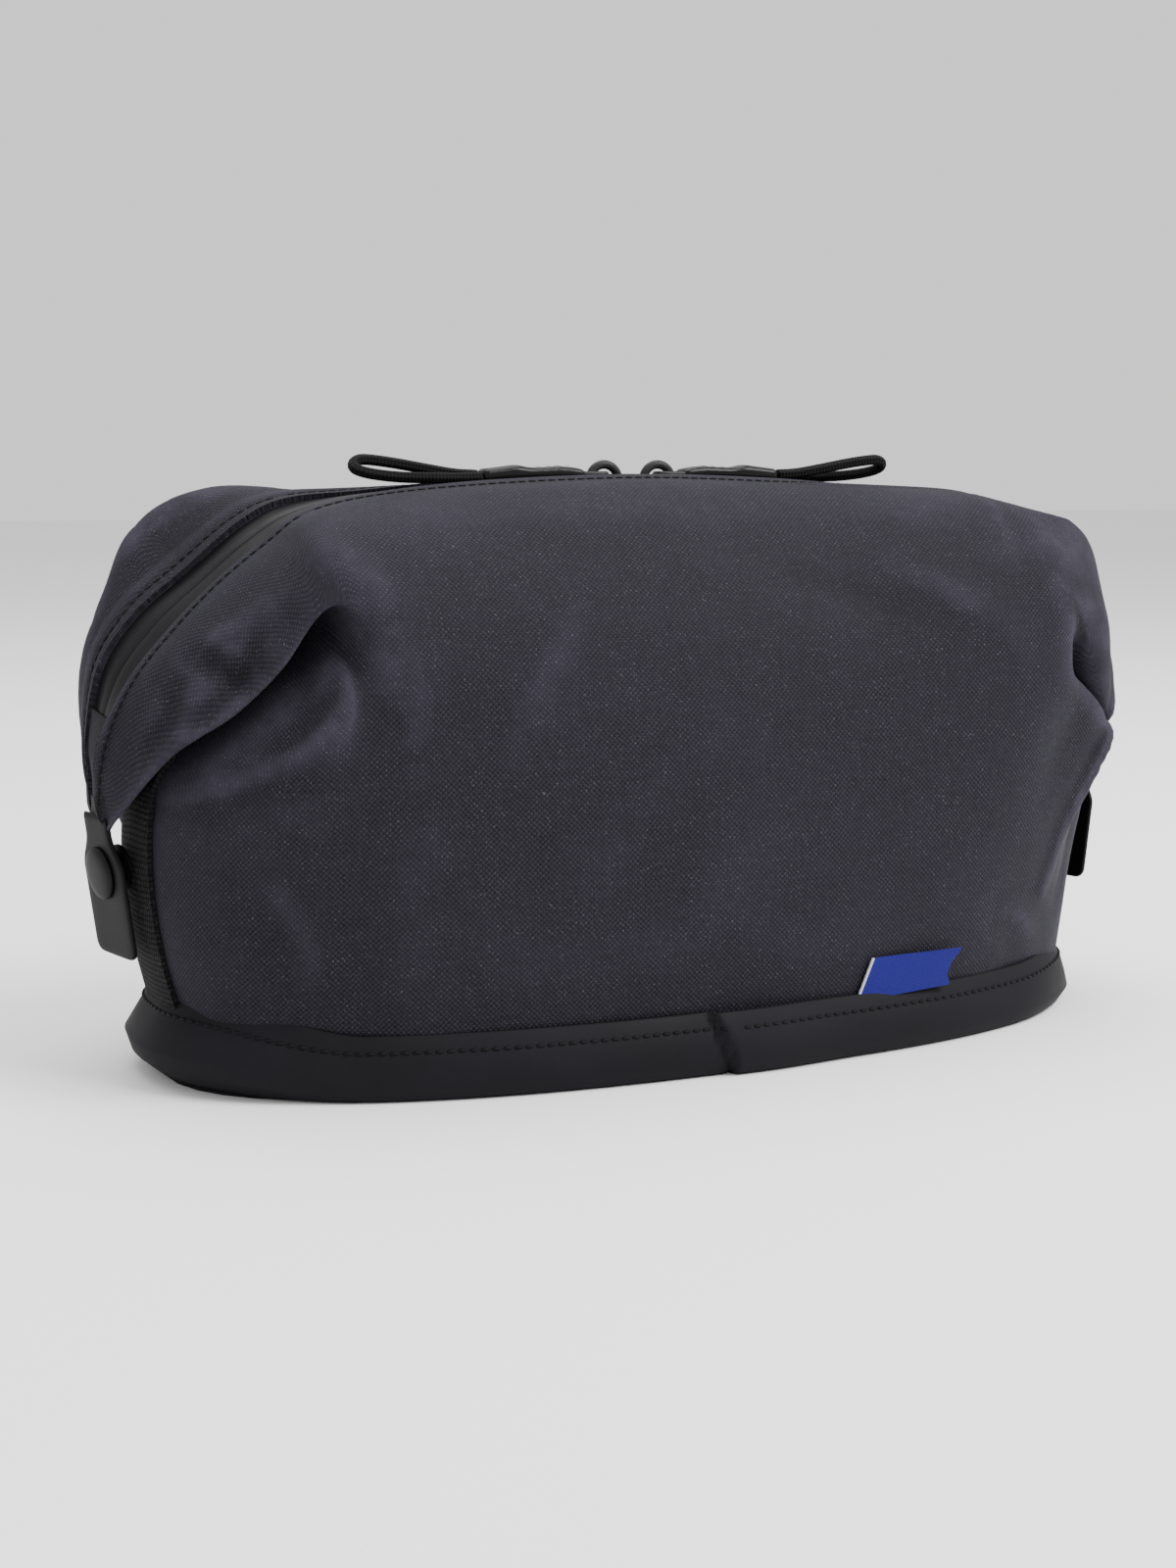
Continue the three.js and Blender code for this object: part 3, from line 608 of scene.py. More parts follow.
PUFFED_END = [
    [(80, -53, 13), (81, -55, 36), (81.5, -56, 58), (81.5, -56, 80),
     (81, -55.3, 95), (80.5, -53.6, 107), (80, -51, 117), (80, -47.3, 126.5),
     (79.5, -40.5, 137.5), (79, -30, 148), (78.5, -16.5, 152.8), (78, -7, 151.9)],
    [(98, -46.4, 13), (100, -49, 36), (101, -51.5, 58), (101.5, -53.5, 80),
     (101.5, -54, 95), (101.5, -53.3, 107), (101, -51.3, 117), (101, -48.3, 127),
     (100.5, -42, 138.5), (100, -30.5, 150), (99.5, -17, 151.8), (98.5, -7, 150)],
    [(110, -40.5, 13), (112.5, -43.5, 36), (114, -46.5, 58), (116, -49, 80),
     (117, -50, 95), (116.5, -48.8, 105), (117, -48.4, 115), (116.8, -46.4, 125.5),
     (116, -41.5, 138), (114.5, -31, 149.6), (113, -17.5, 148.2), (111, -7, 144.3)],
    [(121, -34, 13), (124, -37, 36), (126, -40, 58), (129, -42.5, 76),
     (131, -43.2, 92), (112, -29, 110), (123, -36.5, 101), (131.5, -43.4, 95.5),
     (132.2, -42, 116), (129, -31.5, 144.5), (128, -17.5, 138.4), (126, -7, 132.2)],
    [(129.5, -26.5, 13), (130.5, -29.8, 36), (132.4, -31.2, 50), (135.6, -33.4, 66),
     (138, -34.8, 81), (112.5, -19, 111.5), (127, -27, 98), (139, -35.2, 84.5),
     (141.2, -33.5, 108), (138.5, -28, 135.5), (140.5, -16.5, 127), (139.5, -7, 121)],
    [(132.5, -17, 13), (136.4, -19, 34), (138, -20.5, 49), (139.6, -21.8, 61),
     (139.6, -21.6, 71), (113.5, -11, 112), (128, -17, 97), (143.4, -25, 76),
     (146, -25.3, 95), (146.4, -22.8, 114), (148.8, -14, 111.5), (149, -7, 107.5)],
    [(134.8, -8, 13), (140.6, -8, 36), (142.6, -8, 56), (142, -8, 70.5),
     (138, -8, 84), (114, -5, 112.5), (131, -9, 97), (150, -14.4, 71.4),
     (151.4, -14.4, 77), (152.3, -12.5, 85), (152.2, -9.3, 90), (152.6, -7, 90)],
    [(135, -0.2, 13), (141, -0.2, 36), (143.3, -0.2, 56), (142.4, -0.2, 70.5),
     (138.6, -0.2, 84), (114, -0.2, 112.5), (132, -0.2, 97), (149.2, -0.6, 67.2),
     (151, -3.6, 67.6), (152.2, -6, 69.5), (152.8, -7.4, 72.5), (153, -7, 75)],
]
STATION_STEPS = 12
LEVEL_STEPS = 9


def canvas_grid(left, right):
    """Front of the canvas from end to end: the rows of both ends laid along X and splined both ways.
    Returns the grid with each row's station, counted from the middle, and each column's level."""
    flip = np.array([-1.0, 1.0, 1.0])
    rows = [np.array(row, float) * flip for row in (MIDDLE + left)[::-1]]
    rows += [np.array(row, float) for row in (MIDDLE + right)[1:]]
    grid = spline(np.array(rows), STATION_STEPS)
    grid = spline(grid.transpose(1, 0, 2), LEVEL_STEPS).transpose(1, 0, 2)
    reach = len(MIDDLE + left) - 1
    station = np.linspace(-reach, reach, grid.shape[0])
    level = np.linspace(0, 11, grid.shape[1])
    return grid, station, level


def soften(grid, passes, share=0.5):
    """Each inner point moved towards the mean of its four neighbours."""
    for _ in range(passes):
        mean = (grid[:-2, 1:-1] + grid[2:, 1:-1] + grid[1:-1, :-2] + grid[1:-1, 2:]) / 4
        grid[1:-1, 1:-1] += share * (mean - grid[1:-1, 1:-1])
    return grid


def rumple(grid, seed):
    """Height of gentle rumples: sines of 26 directions and of wavelengths from 26 to 90 mm, summed."""
    dice = np.random.default_rng(seed)
    height = np.zeros(grid.shape[:2])
    for _ in range(26):
        direction = unit(dice.normal(size=3))
        length = dice.uniform(26, 90)
        phase = dice.uniform(0, 2 * np.pi)
        height += (length / 60) * 0.12 * np.sin(2 * np.pi * (grid @ direction) / length + phase)
    return height


def stroke(grid, path, width, depth):
    """Soft ridge or hollow along a path: depth times exp(-(distance / width)^2), tapering to its ends."""
    count = 40
    path = resample(spline(np.array(path, float), 8), count)
    taper = np.sin(np.linspace(0.08, 0.92, count) * np.pi) ** 0.7
    apart = np.linalg.norm(grid[:, :, None] - path, axis=-1)
    nearest = apart.argmin(axis=2)
    gap = np.take_along_axis(apart, nearest[..., None], axis=2)[..., 0]
    return depth * taper[nearest] * np.exp(-((gap / width) ** 2))


# Soft folds that a hand would press in, on the front: path, width and depth in millimetres. Hollows
# are negative.
FRONT_FOLDS = [
    ([(-131, -25, 113), (-125, -33, 108), (-121, -36, 110)], 4.5, -2.2),
    ([(-121, -36, 118), (-126, -34, 106), (-133, -31, 97)], 4.0, -1.6),
    ([(-114, -33, 128), (-124, -30, 119), (-134, -22, 112)], 5.0, 1.0),
    ([(-136, -24, 104), (-139, -24, 96), (-143, -22, 90)], 3.5, -1.2),
    ([(-104, -30, 139), (-97, -40, 134), (-86, -48, 125)], 6.0, 1.1),
    ([(-96, -52, 100), (-104, -51, 84), (-113, -46, 66)], 10.0, 0.8),
    ([(-90, -53, 122), (-84, -54, 108), (-86, -55, 88)], 8.0, 1.2),
    ([(143, -30, 116), (140, -35, 92), (131, -41, 72), (119, -46, 54), (112, -46, 38)], 3.0, 3.0),
    ([(141, -26, 90), (136, -32, 72), (128, -37, 50), (122, -38, 34)], 6.0, -2.6),
    ([(126, -42, 100), (118, -48, 84), (108, -53, 66)], 8.0, -1.5),
    ([(112, -46, 122), (124, -42, 116), (136, -38, 112)], 6.0, 1.2),
    ([(60, -44, 130), (80, -48, 122), (98, -50, 110)], 7.0, 0.9),
    ([(20, -42, 133), (46, -46, 126), (66, -49, 118)], 8.0, -0.9),
    ([(-30, -45, 128), (-44, -50, 112), (-60, -56, 92)], 9.0, 0.7),
    ([(96, -50, 34), (106, -46, 26), (114, -42, 17)], 4.0, 1.3),
    ([(-118, -41, 60), (-112, -45, 40), (-112, -42, 20)], 6.0, 1.0),
    ([(-100, -50, 116), (-109, -48, 103), (-120, -43, 90), (-131, -36, 80)], 10.0, -1.8),
    ([(100, -30, 150), (114, -31, 149), (128, -31, 144)], 13.0, -3.0),
    ([(141, -32, 84), (144, -29, 96), (144, -27, 110), (142, -28, 122)], 9.0, -2.6),
]
BACK_FOLDS = [
    ([(90, -32, 150), (106, -31, 150), (120, -31, 148), (131, -30, 140)], 14.0, 3.6),
    ([(-129, -26, 112), (-122, -33, 106), (-116, -37, 112)], 5.0, -1.8),
    ([(-112, -34, 130), (-122, -30, 121), (-132, -22, 114)], 5.0, 1.2),
    ([(-106, -30, 138), (-96, -41, 133), (-84, -48, 126)], 6.0, 1.0),
    ([(-103, -50, 108), (-111, -47, 97), (-121, -42, 87)], 7.0, -2.0),
    ([(-92, -53, 118), (-86, -55, 102), (-88, -55, 84)], 8.0, 1.1),
    ([(140, -32, 104), (134, -38, 82), (124, -43, 62), (115, -46, 44)], 4.0, 1.8),
    ([(124, -42, 96), (116, -48, 80), (104, -54, 60)], 8.0, -1.3),
    ([(-20, -45, 128), (6, -52, 112), (38, -57, 92)], 9.0, 0.8),
    ([(50, -44, 130), (72, -48, 122), (94, -50, 108)], 7.0, -0.8),
    ([(-60, -58, 60), (-84, -54, 42), (-104, -46, 26)], 8.0, 0.9),
    ([(147, -22, 80), (147.5, -24, 92), (147.5, -24, 106), (146, -23, 118)], 9.0, 4.0),
]


def distance_to_zip(grid):
    """Distance from each point of the canvas up its row to the zip's edge."""
    return np.stack([along(row[::-1])[::-1] for row in grid])


def shaped_canvas(pressed, seed):
    """One face's grid with rumples, folds and the stitched roll beside the zip. Returns the grid, its
    normals, its stored crease, its cloth UV in millimetres, and its stations and levels."""
    grid, station, level = canvas_grid(FOLDED_END, PUFFED_END)
    grid = soften(grid, 6)
    facing = grid_normals(grid)
    near_seam = smoothstep(level, 0, 1.2) * smoothstep(level, 11, 9.6)
    near_end = smoothstep(np.abs(station), 9, 8)
    tucked = smoothstep(level, 4.0, 4.6) * smoothstep(level, 7.0, 6.4)
    hidden = 1 - 0.85 * tucked[None] * smoothstep(np.abs(station), 2.6, 3.6)[:, None]
    calm = near_seam * near_end[:, None] * hidden
    height = rumple(grid, seed) * 0.38 * calm
    folds = sum(stroke(grid, *fold) for fold in pressed)
    height = height + folds * calm
    grid = grid + facing * height[..., None]
    from_zip = distance_to_zip(grid)
    roll = (4.2 + 4.8 * smoothstep(station, 0.5, 2.6))[:, None]
    edge = np.clip(from_zip / roll, 0, 1)
    raised = 0.9 * np.sqrt(np.clip(1 - edge**4, 0, 1)) - 0.5 * np.exp(-(((from_zip - 3.4) / 0.9) ** 2))
    raised = np.where(from_zip < roll, raised, 0) * smoothstep(np.abs(station), 8.8, 8.1)[:, None]
    grid = grid + grid_normals(grid) * raised[..., None]
    normals = grid_normals(grid)
    middle = len(station) // 2
    last = int(8.5 / 9 * middle)
    normals[middle + last :] = normals[middle + last]
    normals[: middle - last] = normals[middle - last]
    blurred = soften(grid.copy(), 14)
    crease = np.einsum("ijk,ijk->ij", grid - blurred, normals)
    across = np.stack([along(line) for line in grid.transpose(1, 0, 2)], axis=1)
    across -= across[middle]
    up = np.stack([along(row) for row in grid])
    return grid, normals, crease * 1.6, np.stack([across, up], axis=-1), station, level


def follow(piece, body):
    """A piece of the bag rides on it; any other piece keeps its place, with its transform baked into its mesh."""
    if body == "bag":
        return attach(piece, "bag")
    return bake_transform(piece)


def zones(station, face):
    """Rows of the middle and of each wing, as a body and a mask over the spans between stations."""
    between = (station[:-1] + station[1:]) / 2
    low, high = ("wing_left", "wing_right") if face == "front" else ("wing_right", "wing_left")
    return {"bag": np.abs(between) < WING_STATION, low: between < -WING_STATION, high: between > WING_STATION}


def make_canvas(finish, faces):
    """Each face of the canvas in three pieces that share their normals: the body up to the crease under
    the folds and the whole of its middle, and a wing above the crease at each end. A coarser lining
    follows inside each, short of the wing's tip."""
    coarse = (slice(None, None, COARSE), slice(None, None, COARSE))
    for face, turn in FACE_TURNS.items():
        grid, normals, crease, uv, station, level = faces[face]
        thick = CANVAS_THICK + 0.7 * smoothstep(level, 10.2, 11)[None] + np.zeros(grid.shape[:2])
        below = ((level[:-1] + level[1:]) / 2 < FOLD_LEVEL)[None]
        wide_station, wide_level = station[::COARSE], level[::COARSE]
        wide_zones = zones(wide_station, face)
        wide_below = ((wide_level[:-1] + wide_level[1:]) / 2 < FOLD_LEVEL)[None]
        short = np.abs(wide_station[:-1] + wide_station[1:]) / 2 < LINING_END
        inner = (grid - normals * (CANVAS_THICK + LINING_GAP))[coarse] * turn
        no_crease = {"crease": np.zeros(inner.shape[:2])}
        for body, rows in zones(station, face).items():
            fine, wide = rows[:, None], wide_zones[body][:, None]
            if body == "bag":
                ending, node = face, f"{face}_panel"
                fine, wide = fine | below, wide | wide_below
            else:
                ending, node = f"{face}_{body}", f"wing_{face}_{body.split('_')[1]}"
                fine, wide = fine & ~below, wide & short[:, None] & ~wide_below
            finished, facing = finish["canvas"], normals * turn
            piece = shell(f"canvas_{ending}", grid * turn, thick, finished, fine, uv, {"crease": crease}, facing)
            follow(piece, body)
            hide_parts(node)
            finished, facing = finish["lining"], normals[coarse] * turn
            lined = shell(f"lining_{ending}", inner, LINING_THICK, finished, wide, uv[coarse], no_crease, facing)
            follow(lined, body)
            if lined.name == "lining_front":
                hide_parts("lining")


# ---------------------------------------------------------------- small solids
def solid(rings):
    """Points and faces of a closed solid: rings joined in order, with a fan over the first and last."""
    rings = np.asarray(rings, float)
    count, sides = rings.shape[:2]
    points = np.concatenate([rings.reshape(-1, 3), rings[0].mean(0)[None], rings[-1].mean(0)[None]])
    faces = grid_faces(count, sides, wrap_cols=True).tolist()
    for row, middle in ((0, count * sides), (count - 1, count * sides + 1)):
        loop = row * sides + np.arange(sides)
        fan = np.stack([loop, np.roll(loop, -1), np.full(sides, middle)], axis=1)
        faces += (fan if row else fan[:, ::-1]).tolist()
    return points, faces


def joined(name, parts, material):
    """One mesh of several solids."""
    points, faces, count = [], [], 0
    for part_points, part_faces in parts:
        points.append(part_points)
        faces += [[int(k) + count for k in face] for face in part_faces]
        count += len(part_points)
    return turned_out(new_piece(name, np.concatenate(points), faces, material))


def oval(half_x, half_y, power=4.0, sides=48, start=0.0):
    """Superellipse: |x / a|^p + |y / b|^p = 1, from an angle of start."""
    angle = np.linspace(0, 2 * np.pi, sides, endpoint=False) + start
    c, s = np.cos(angle), np.sin(angle)
    return np.stack([half_x * np.sign(c) * abs(c) ** (2 / power), half_y * np.sign(s) * abs(s) ** (2 / power)], 1)


def plate(centre, half, low, high, ease, power=4.0):
    """Flat plate with eased edges: four superellipse rings, the outer two drawn in by the ease."""
    rings = []
    for inset, z in ((ease, low), (ease * 0.3, low + ease * 0.3), (0, low + ease), (0, high - ease),
                     (ease * 0.3, high - ease * 0.3), (ease, high)):
        ring = oval(half[0] - inset, half[1] - inset, power)
        rings.append(np.column_stack([ring + centre, np.full(len(ring), z)]))
    return solid(rings)


def rod(centres, radius, sides=14, squash=1.0):
    """Round bar along centres, closed by a flat fan at each end."""
    centres = np.asarray(centres, float)
    side, up = least_turning(centres)
    angle = np.linspace(0, 2 * np.pi, sides, endpoint=False)
    ring = side[:, None] * np.cos(angle)[:, None] * squash + up[:, None] * np.sin(angle)[:, None]
    return solid(centres[:, None] + ring * radius)


def stitches(name, path, outward, material, pitch=2.9, length=2.2, radius=0.33):
    """Row of thread stitches along a path: each a six-sided capsule that lies on the surface."""
    travelled = along(path)
    at = np.arange(pitch, travelled[-1] - pitch, pitch)
    pick = lambda line: np.stack([np.interp(at, travelled, line[:, k]) for k in range(3)], axis=1)
    place = pick(path)
    facing = unit(pick(outward))
    run = unit(pick(np.gradient(path, axis=0)))
    side = unit(np.cross(facing, run))
    reach = np.array([-0.5, -0.36, 0.0, 0.36, 0.5]) * length
    girth = np.array([0.35, 0.9, 1.0, 0.9, 0.35]) * radius
    angle = np.linspace(0, 2 * np.pi, 6, endpoint=False)
    lift = 0.5 * radius - 0.35 * radius * (np.abs(reach) / length * 2) ** 2
    ring = (
        run[:, None, None] * reach[:, None, None]
        + side[:, None, None] * (girth[:, None] * np.cos(angle))[..., None]
        + facing[:, None, None] * (girth[:, None] * np.sin(angle) + lift[:, None])[..., None]
    )
    points = (place[:, None, None] + ring).reshape(-1, 3)
    tile = grid_faces(5, 6, wrap_cols=True).tolist() + [[5, 4, 3, 2, 1, 0], [24, 25, 26, 27, 28, 29]]
    faces = [[k + 30 * n for k in face] for n in range(len(place)) for face in tile]
    return turned_out(new_piece(name, points, faces, material))


# ---------------------------------------------------------------- the zip
def zip_line(cloth):
    """The zip's centre line from one end to the other, half-way between the two canvas edges, with the
    directions across it and up from it and its half width: flat through the sliders' travel, then a
    millimetre and a half below the canvas, tilting as one edge stands higher than the other."""
    grid, _, _, _, station, _ = cloth
    front = grid[:, -1]
    back = front[::-1] * HALF_TURN
    middle = (front + back) / 2
    run = unit(np.gradient(middle, axis=0))
    across = unit(back - front)
    up = unit(np.cross(run, across))
    reach = np.abs(middle[:, 0])
    drop = np.maximum(middle[:, 2] - 153.3, 0.9 + 0.9 * smoothstep(reach, 78, 100))
    drop = np.where(reach < 100, drop, 1.8)
    half = np.linalg.norm(back - front, axis=1) / 2
    return middle - up * drop[:, None], across, up, half, station


def make_zip(finish, cloth):
    """Two coated tapes that meet over the hidden coil: crowned beside the slot, where each rolls down,
    and tucked under the canvas edges."""
    centre, across, up, half, station = zip_line(cloth)
    slot = 0.95 - 0.87 * smoothstep(np.abs(centre[:, 0]), 70, 84)
    share = np.array([0.0, 0.3, 0.55, 0.72, 0.84, 0.92, 0.97, 1.0, 1.0])
    height = np.array([0.0, 0.02, 0.1, 0.22, 0.24, 0.1, -0.12, -0.45, -1.3])
    reach = (half[:, None] + 1.9) * (1 - share) + slot[:, None] * share
    for face, side in (("front", -1), ("back", 1)):
        lift = np.where(height < 0, height * slot[:, None] / 0.95, height)
        grid = centre[:, None] + up[:, None] * lift[..., None] + across[:, None] * (side * reach)[..., None]
        uv = np.stack([np.repeat(along(centre)[:, None], 9, 1), side * reach], axis=-1)
        if side > 0:
            grid, uv = grid[:, ::-1], uv[:, ::-1]
        for body, rows in zones(station, "front").items():
            inside = np.broadcast_to(rows[:, None], (len(rows), 8))
            name = f"tape_{face}" if body == "bag" else f"tape_{face}_{body}"
            piece = shell(name, grid, TAPE_THICK, finish["tape"], inside, uv)
            follow(piece, body)
            if body == "bag":
                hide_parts(f"zip_tape_{face}", f"zip_coil_{face}")
            elif face == "front":
                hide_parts("wing_zip_" + body.split("_")[1])


def make_zip_ends(finish, cloth):
    """Ribbed patch over each end of the zip, from a third of the way down the wing to its tip, and the
    bar tack that holds it."""
    centre, across, up, half, station = zip_line(cloth)
    ends = np.flatnonzero(station <= -PATCH_START)
    tip = np.array([[-151.7, 0, 66.8], [-152.3, 0, 70.5]])
    path = np.concatenate([tip, centre[ends] + up[ends] * 0.75])
    lean = np.concatenate([[[0, 1.0, 0]] * 2, across[ends]])
    wide = np.concatenate([[5.0, 6.4], half[ends] + 0.7])[:, None]
    table = resample(np.concatenate([path, lean * 8, wide], axis=1), count=40)
    path, lean, wide = table[:, :3], unit(table[:, 3:6]), table[:, 6:]
    facing = unit(np.cross(unit(np.gradient(path, axis=0)), lean))
    part = np.linspace(-1, 1, 15)
    crown = 0.45 * (1 - part**2)
    grid = path[:, None] + facing[:, None] * crown[:, None] + lean[:, None] * (wide * part)[..., None]
    uv = np.stack([along(path)[:, None] + 0 * part, wide * part], axis=-1)
    for end, turn in END_TURNS.items():
        patch = shell(f"zip_end_{end}", grid * turn, 0.7, finish["garage"], uv=uv)
        follow(patch, "wing_" + end)
        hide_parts(f"zip_garage_{end}")
        rows = []
        for at in range(5, 12):
            spread = np.linspace(-4.2, 4.2, 7)[:, None]
            bar = path[at] + facing[at] * 0.45 + lean[at] * spread
            rows.append(rod(bar * turn, 0.36, 8))
        tack = joined(f"bar_tack_{end}", rows, finish["thread"])
        follow(tack, "wing_" + end)


def make_seams(finish, faces):
    """Stitch line along each canvas edge, three and a half millimetres from it."""
    for face, turn in FACE_TURNS.items():
        grid, normals, _, _, station, _ = faces[face]
        from_zip = distance_to_zip(grid)
        at_inset = lambda far, row: [np.interp(SEAM_INSET, far[::-1], row[::-1, axis]) for axis in range(3)]
        line = np.array([at_inset(far, row) for far, row in zip(from_zip, grid)])
        facing = normals[np.arange(len(grid)), np.abs(from_zip - SEAM_INSET).argmin(axis=1)]
        for body, mask in zones(station, face).items():
            span = np.flatnonzero(mask)
            span = np.append(span, span[-1] + 1)
            name = f"seam_{face}" if body == "bag" else f"seam_{face}_{body}"
            piece = stitches(name, line[span] * turn, facing[span] * turn, finish["thread"], radius=0.26)
            follow(piece, body)


# ---------------------------------------------------------------- base, ends and label
def make_band(finish):
    """Coated band round the base: a rolled profile of offset and height pairs carried round a
    superellipse. It stands higher under the end straps, more so at the left, bellies out there at
    mid-height, and laps over itself on the front in an S. A stitch line runs below its top."""
    profile = np.array([
        (-4.2, 0.0), (-0.6, 0.1), (1.0, 1.2), (1.9, 4.2), (2.0, 8.0), (1.0, 12.0), (-0.4, 14.8), (-1.3, 16.6),
        (-1.7, 17.0), (-2.2, 16.9), (-2.6, 16.2), (-2.8, 14.0), (-3.4, 8.0), (-4.2, 1.2),
    ])
    offset, height = profile.T[:, None]
    outer = offset > -2.3
    high = height / BAND_HEIGHT
    ring = oval(*BASE_HALF, BASE_ROUNDNESS, BAND_STEPS, -np.pi / 2)
    ring = resample(np.concatenate([ring, ring[:1]]), count=BAND_STEPS + 1)[:-1]
    run = unit(np.roll(ring, -1, axis=0) - np.roll(ring, 1, axis=0))
    out = np.stack([run[:, 1], -run[:, 0]], axis=1)
    length = along(np.concatenate([ring, ring[:1]]))[:-1, None]
    across, front = ring[:, :1], ring[:, 1:] < 0
    left, right = smoothstep(-across, 98, 141), smoothstep(across, 98, 141)
    at_end = left + right
    z = height + (10.5 * left + 1.5 * right) * high**2
    z = z + 1.3 * left * (np.exp(-((height / 6) ** 2)) * outer)
    belly = np.exp(-(((height - 8) / 4) ** 2)) * outer
    foot = -2.8 * np.exp(-((height / 2.5) ** 2)) * outer
    ripple = 0.22 * np.sin(length / 17.0) * np.sin(length / 7.3 + 1.0)
    past = across - (-5.3 + 0.26 * (BAND_HEIGHT - z)) + 0.8 * np.sin((z - 8) / 4.0)
    lap = 2.0 * smoothstep(past, -0.3, 0.3) * smoothstep(past, 42, 8)
    groove = 1.0 * np.exp(-(((past + 1.0) / 0.9) ** 2))
    offset = offset + ripple * high * (offset > -2)
    offset = offset + (3.4 * left - 0.9 * right) * belly + at_end * foot
    offset = offset + (lap - groove) * front * outer - 3.6 * at_end * high**1.5
    points = np.concatenate([ring[:, None] + out[:, None] * offset[..., None], z[..., None]], axis=2)
    faces = grid_faces(BAND_STEPS, len(profile), wrap_rows=True, wrap_cols=True).tolist()
    band = turned_out(new_piece("base_wrap", points.reshape(-1, 3), faces, finish["band"]))
    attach(band, "bag")
    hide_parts("base_band")
    line = points[:, 5] * 0.65 + points[:, 6] * 0.35
    line = np.concatenate([line, line[:1]])
    facing = np.concatenate([out, np.zeros((BAND_STEPS, 1))], axis=1)
    facing = np.concatenate([facing, facing[:1]])
    sewn = stitches("base_seam", line, facing, finish["thread"], radius=0.42)
    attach(sewn, "bag")


def end_surface(front, back, y, end_level):
    """The canvas across the left end, level by level: both faces' rows read at each y."""
    count = end_level * LEVEL_STEPS + 1
    front = front[0][: 3 * STATION_STEPS, :count]
    back = (back[0][-3 * STATION_STEPS :, :count] * HALF_TURN)[::-1]
    rows = []
    for k in range(count):
        line = np.concatenate([front[::-1, k], back[:, k]])
        line = line[np.argsort(line[:, 1])]
        rows.append(np.stack([np.interp(y, line[:, 1], line[:, 0]), y, np.interp(y, line[:, 1], line[:, 2])], 1))
    return np.array(rows)


def make_webbing(finish, front, back):
    """Ribbed strap up the middle of each end, lying on the canvas as far as the crease under the wing,
    with its long edges eased by 0.35 |y / half|^8."""
    y = np.linspace(-WEB_HALF, WEB_HALF, 21)
    surface = soften(end_surface(front, back, y, FOLD_LEVEL)[3:], 10)
    facing = grid_normals(surface)
    edge = 0.35 * np.abs(y / WEB_HALF) ** 8
    grid = surface + facing * (2.0 - edge)[None, :, None]
    up = along(surface[:, 10])
    uv = np.stack(np.broadcast_arrays(y[None], up[:, None]), axis=-1)
    for end, turn in END_TURNS.items():
        strap = shell(f"strap_{end}", grid * turn, WEB_THICK, finish["webbing"], uv=uv)
        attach(strap, "bag")
        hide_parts(f"end_webbing_{end}")


def tab_frame():
    """Out of the left tab, up along it and across it: unit vectors at its hinge."""
    ct, st, cl, sl = math.cos(TAB_TURN), math.sin(TAB_TURN), math.cos(TAB_TILT), math.sin(TAB_TILT)
    out = np.array([-cl * ct, -cl * st, -sl])
    up = np.array([-sl * ct, -sl * st, cl])
    return out, up, np.cross(up, out)


# Radius and height pairs of the snap's three pieces, measured out from the middle of the strap.
CAP = [(0, 3), (2.5, 2.95), (4.5, 2.8), (5.8, 2.5), (6.6, 2.15), (7, 1.6), (6.9, 1.1), (0, 1.0)]
SOCKET = [(3.4, -1.1), (5.9, -1.1), (6.1, -1.4), (6, -2.6), (5.4, -3.3), (3.7, -3.3), (3.4, -3.0)]
STUD = [(0, -2.2), (1.4, -2.25), (2.1, -2.6), (1.9, -3.2), (2.1, -4.1), (5.8, -4.2), (6.3, -4.5), (6.3, -5.1),
        (0, -5.2)]


def make_tabs(finish):
    """Coated strap from each wing's tip with its snap: sections of a rounded strap whose half width goes
    from 6.5 at the neck to 11, then round the corners of its end."""
    out, up, across = tab_frame()
    straight, corner = 34, 3
    bend = np.sin(np.linspace(0.05, 1, 14) * np.pi / 2)
    down = np.concatenate([np.linspace(-1, straight, 50), straight + corner * bend])
    wide = 6.5 + 4.5 * smoothstep(down, 4, 14)
    past = np.clip((down - straight) / corner, 0, 1)
    wide = wide - 3.0 * (1 - np.sqrt(np.clip(1 - past**2, 0, 1)))
    thick = 0.9 * np.sqrt(np.clip(1 - past**6 * 0.6, 0, 1)) * smoothstep(down, -1.6, 0)
    section = oval(1, 1, 5.0, 56)
    for end, turn in END_TURNS.items():
        rings = (
            TAB_HINGE
            - up * down[:, None, None]
            + across * (section[:, 0] * wide[:, None])[..., None]
            + out * (section[:, 1] * thick[:, None])[..., None]
        )
        strap = joined(f"tab_strap_{end}", [solid(rings * turn)], finish["tab"])
        centre = (TAB_HINGE - up * TAB_SNAP) * turn
        axis = out * turn
        cap = turned(f"cap_{end}", CAP, centre, axis, finish["cap"], 64)
        socket = turned(f"socket_{end}", SOCKET, centre, axis, finish["cap"])
        stud = turned(f"stud_{end}", STUD, centre, axis, finish["cap"])
        for piece, node, slot in ((strap, "snap_tab", "coated_tab"), (cap, "snap_cap", "hardware"),
                                  (socket, "snap_socket", "hardware")):
            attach(piece, "tab_" + end)
            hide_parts(f"{node}_{end}")
        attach(stud, "bag")
        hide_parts(f"snap_stud_{end}")


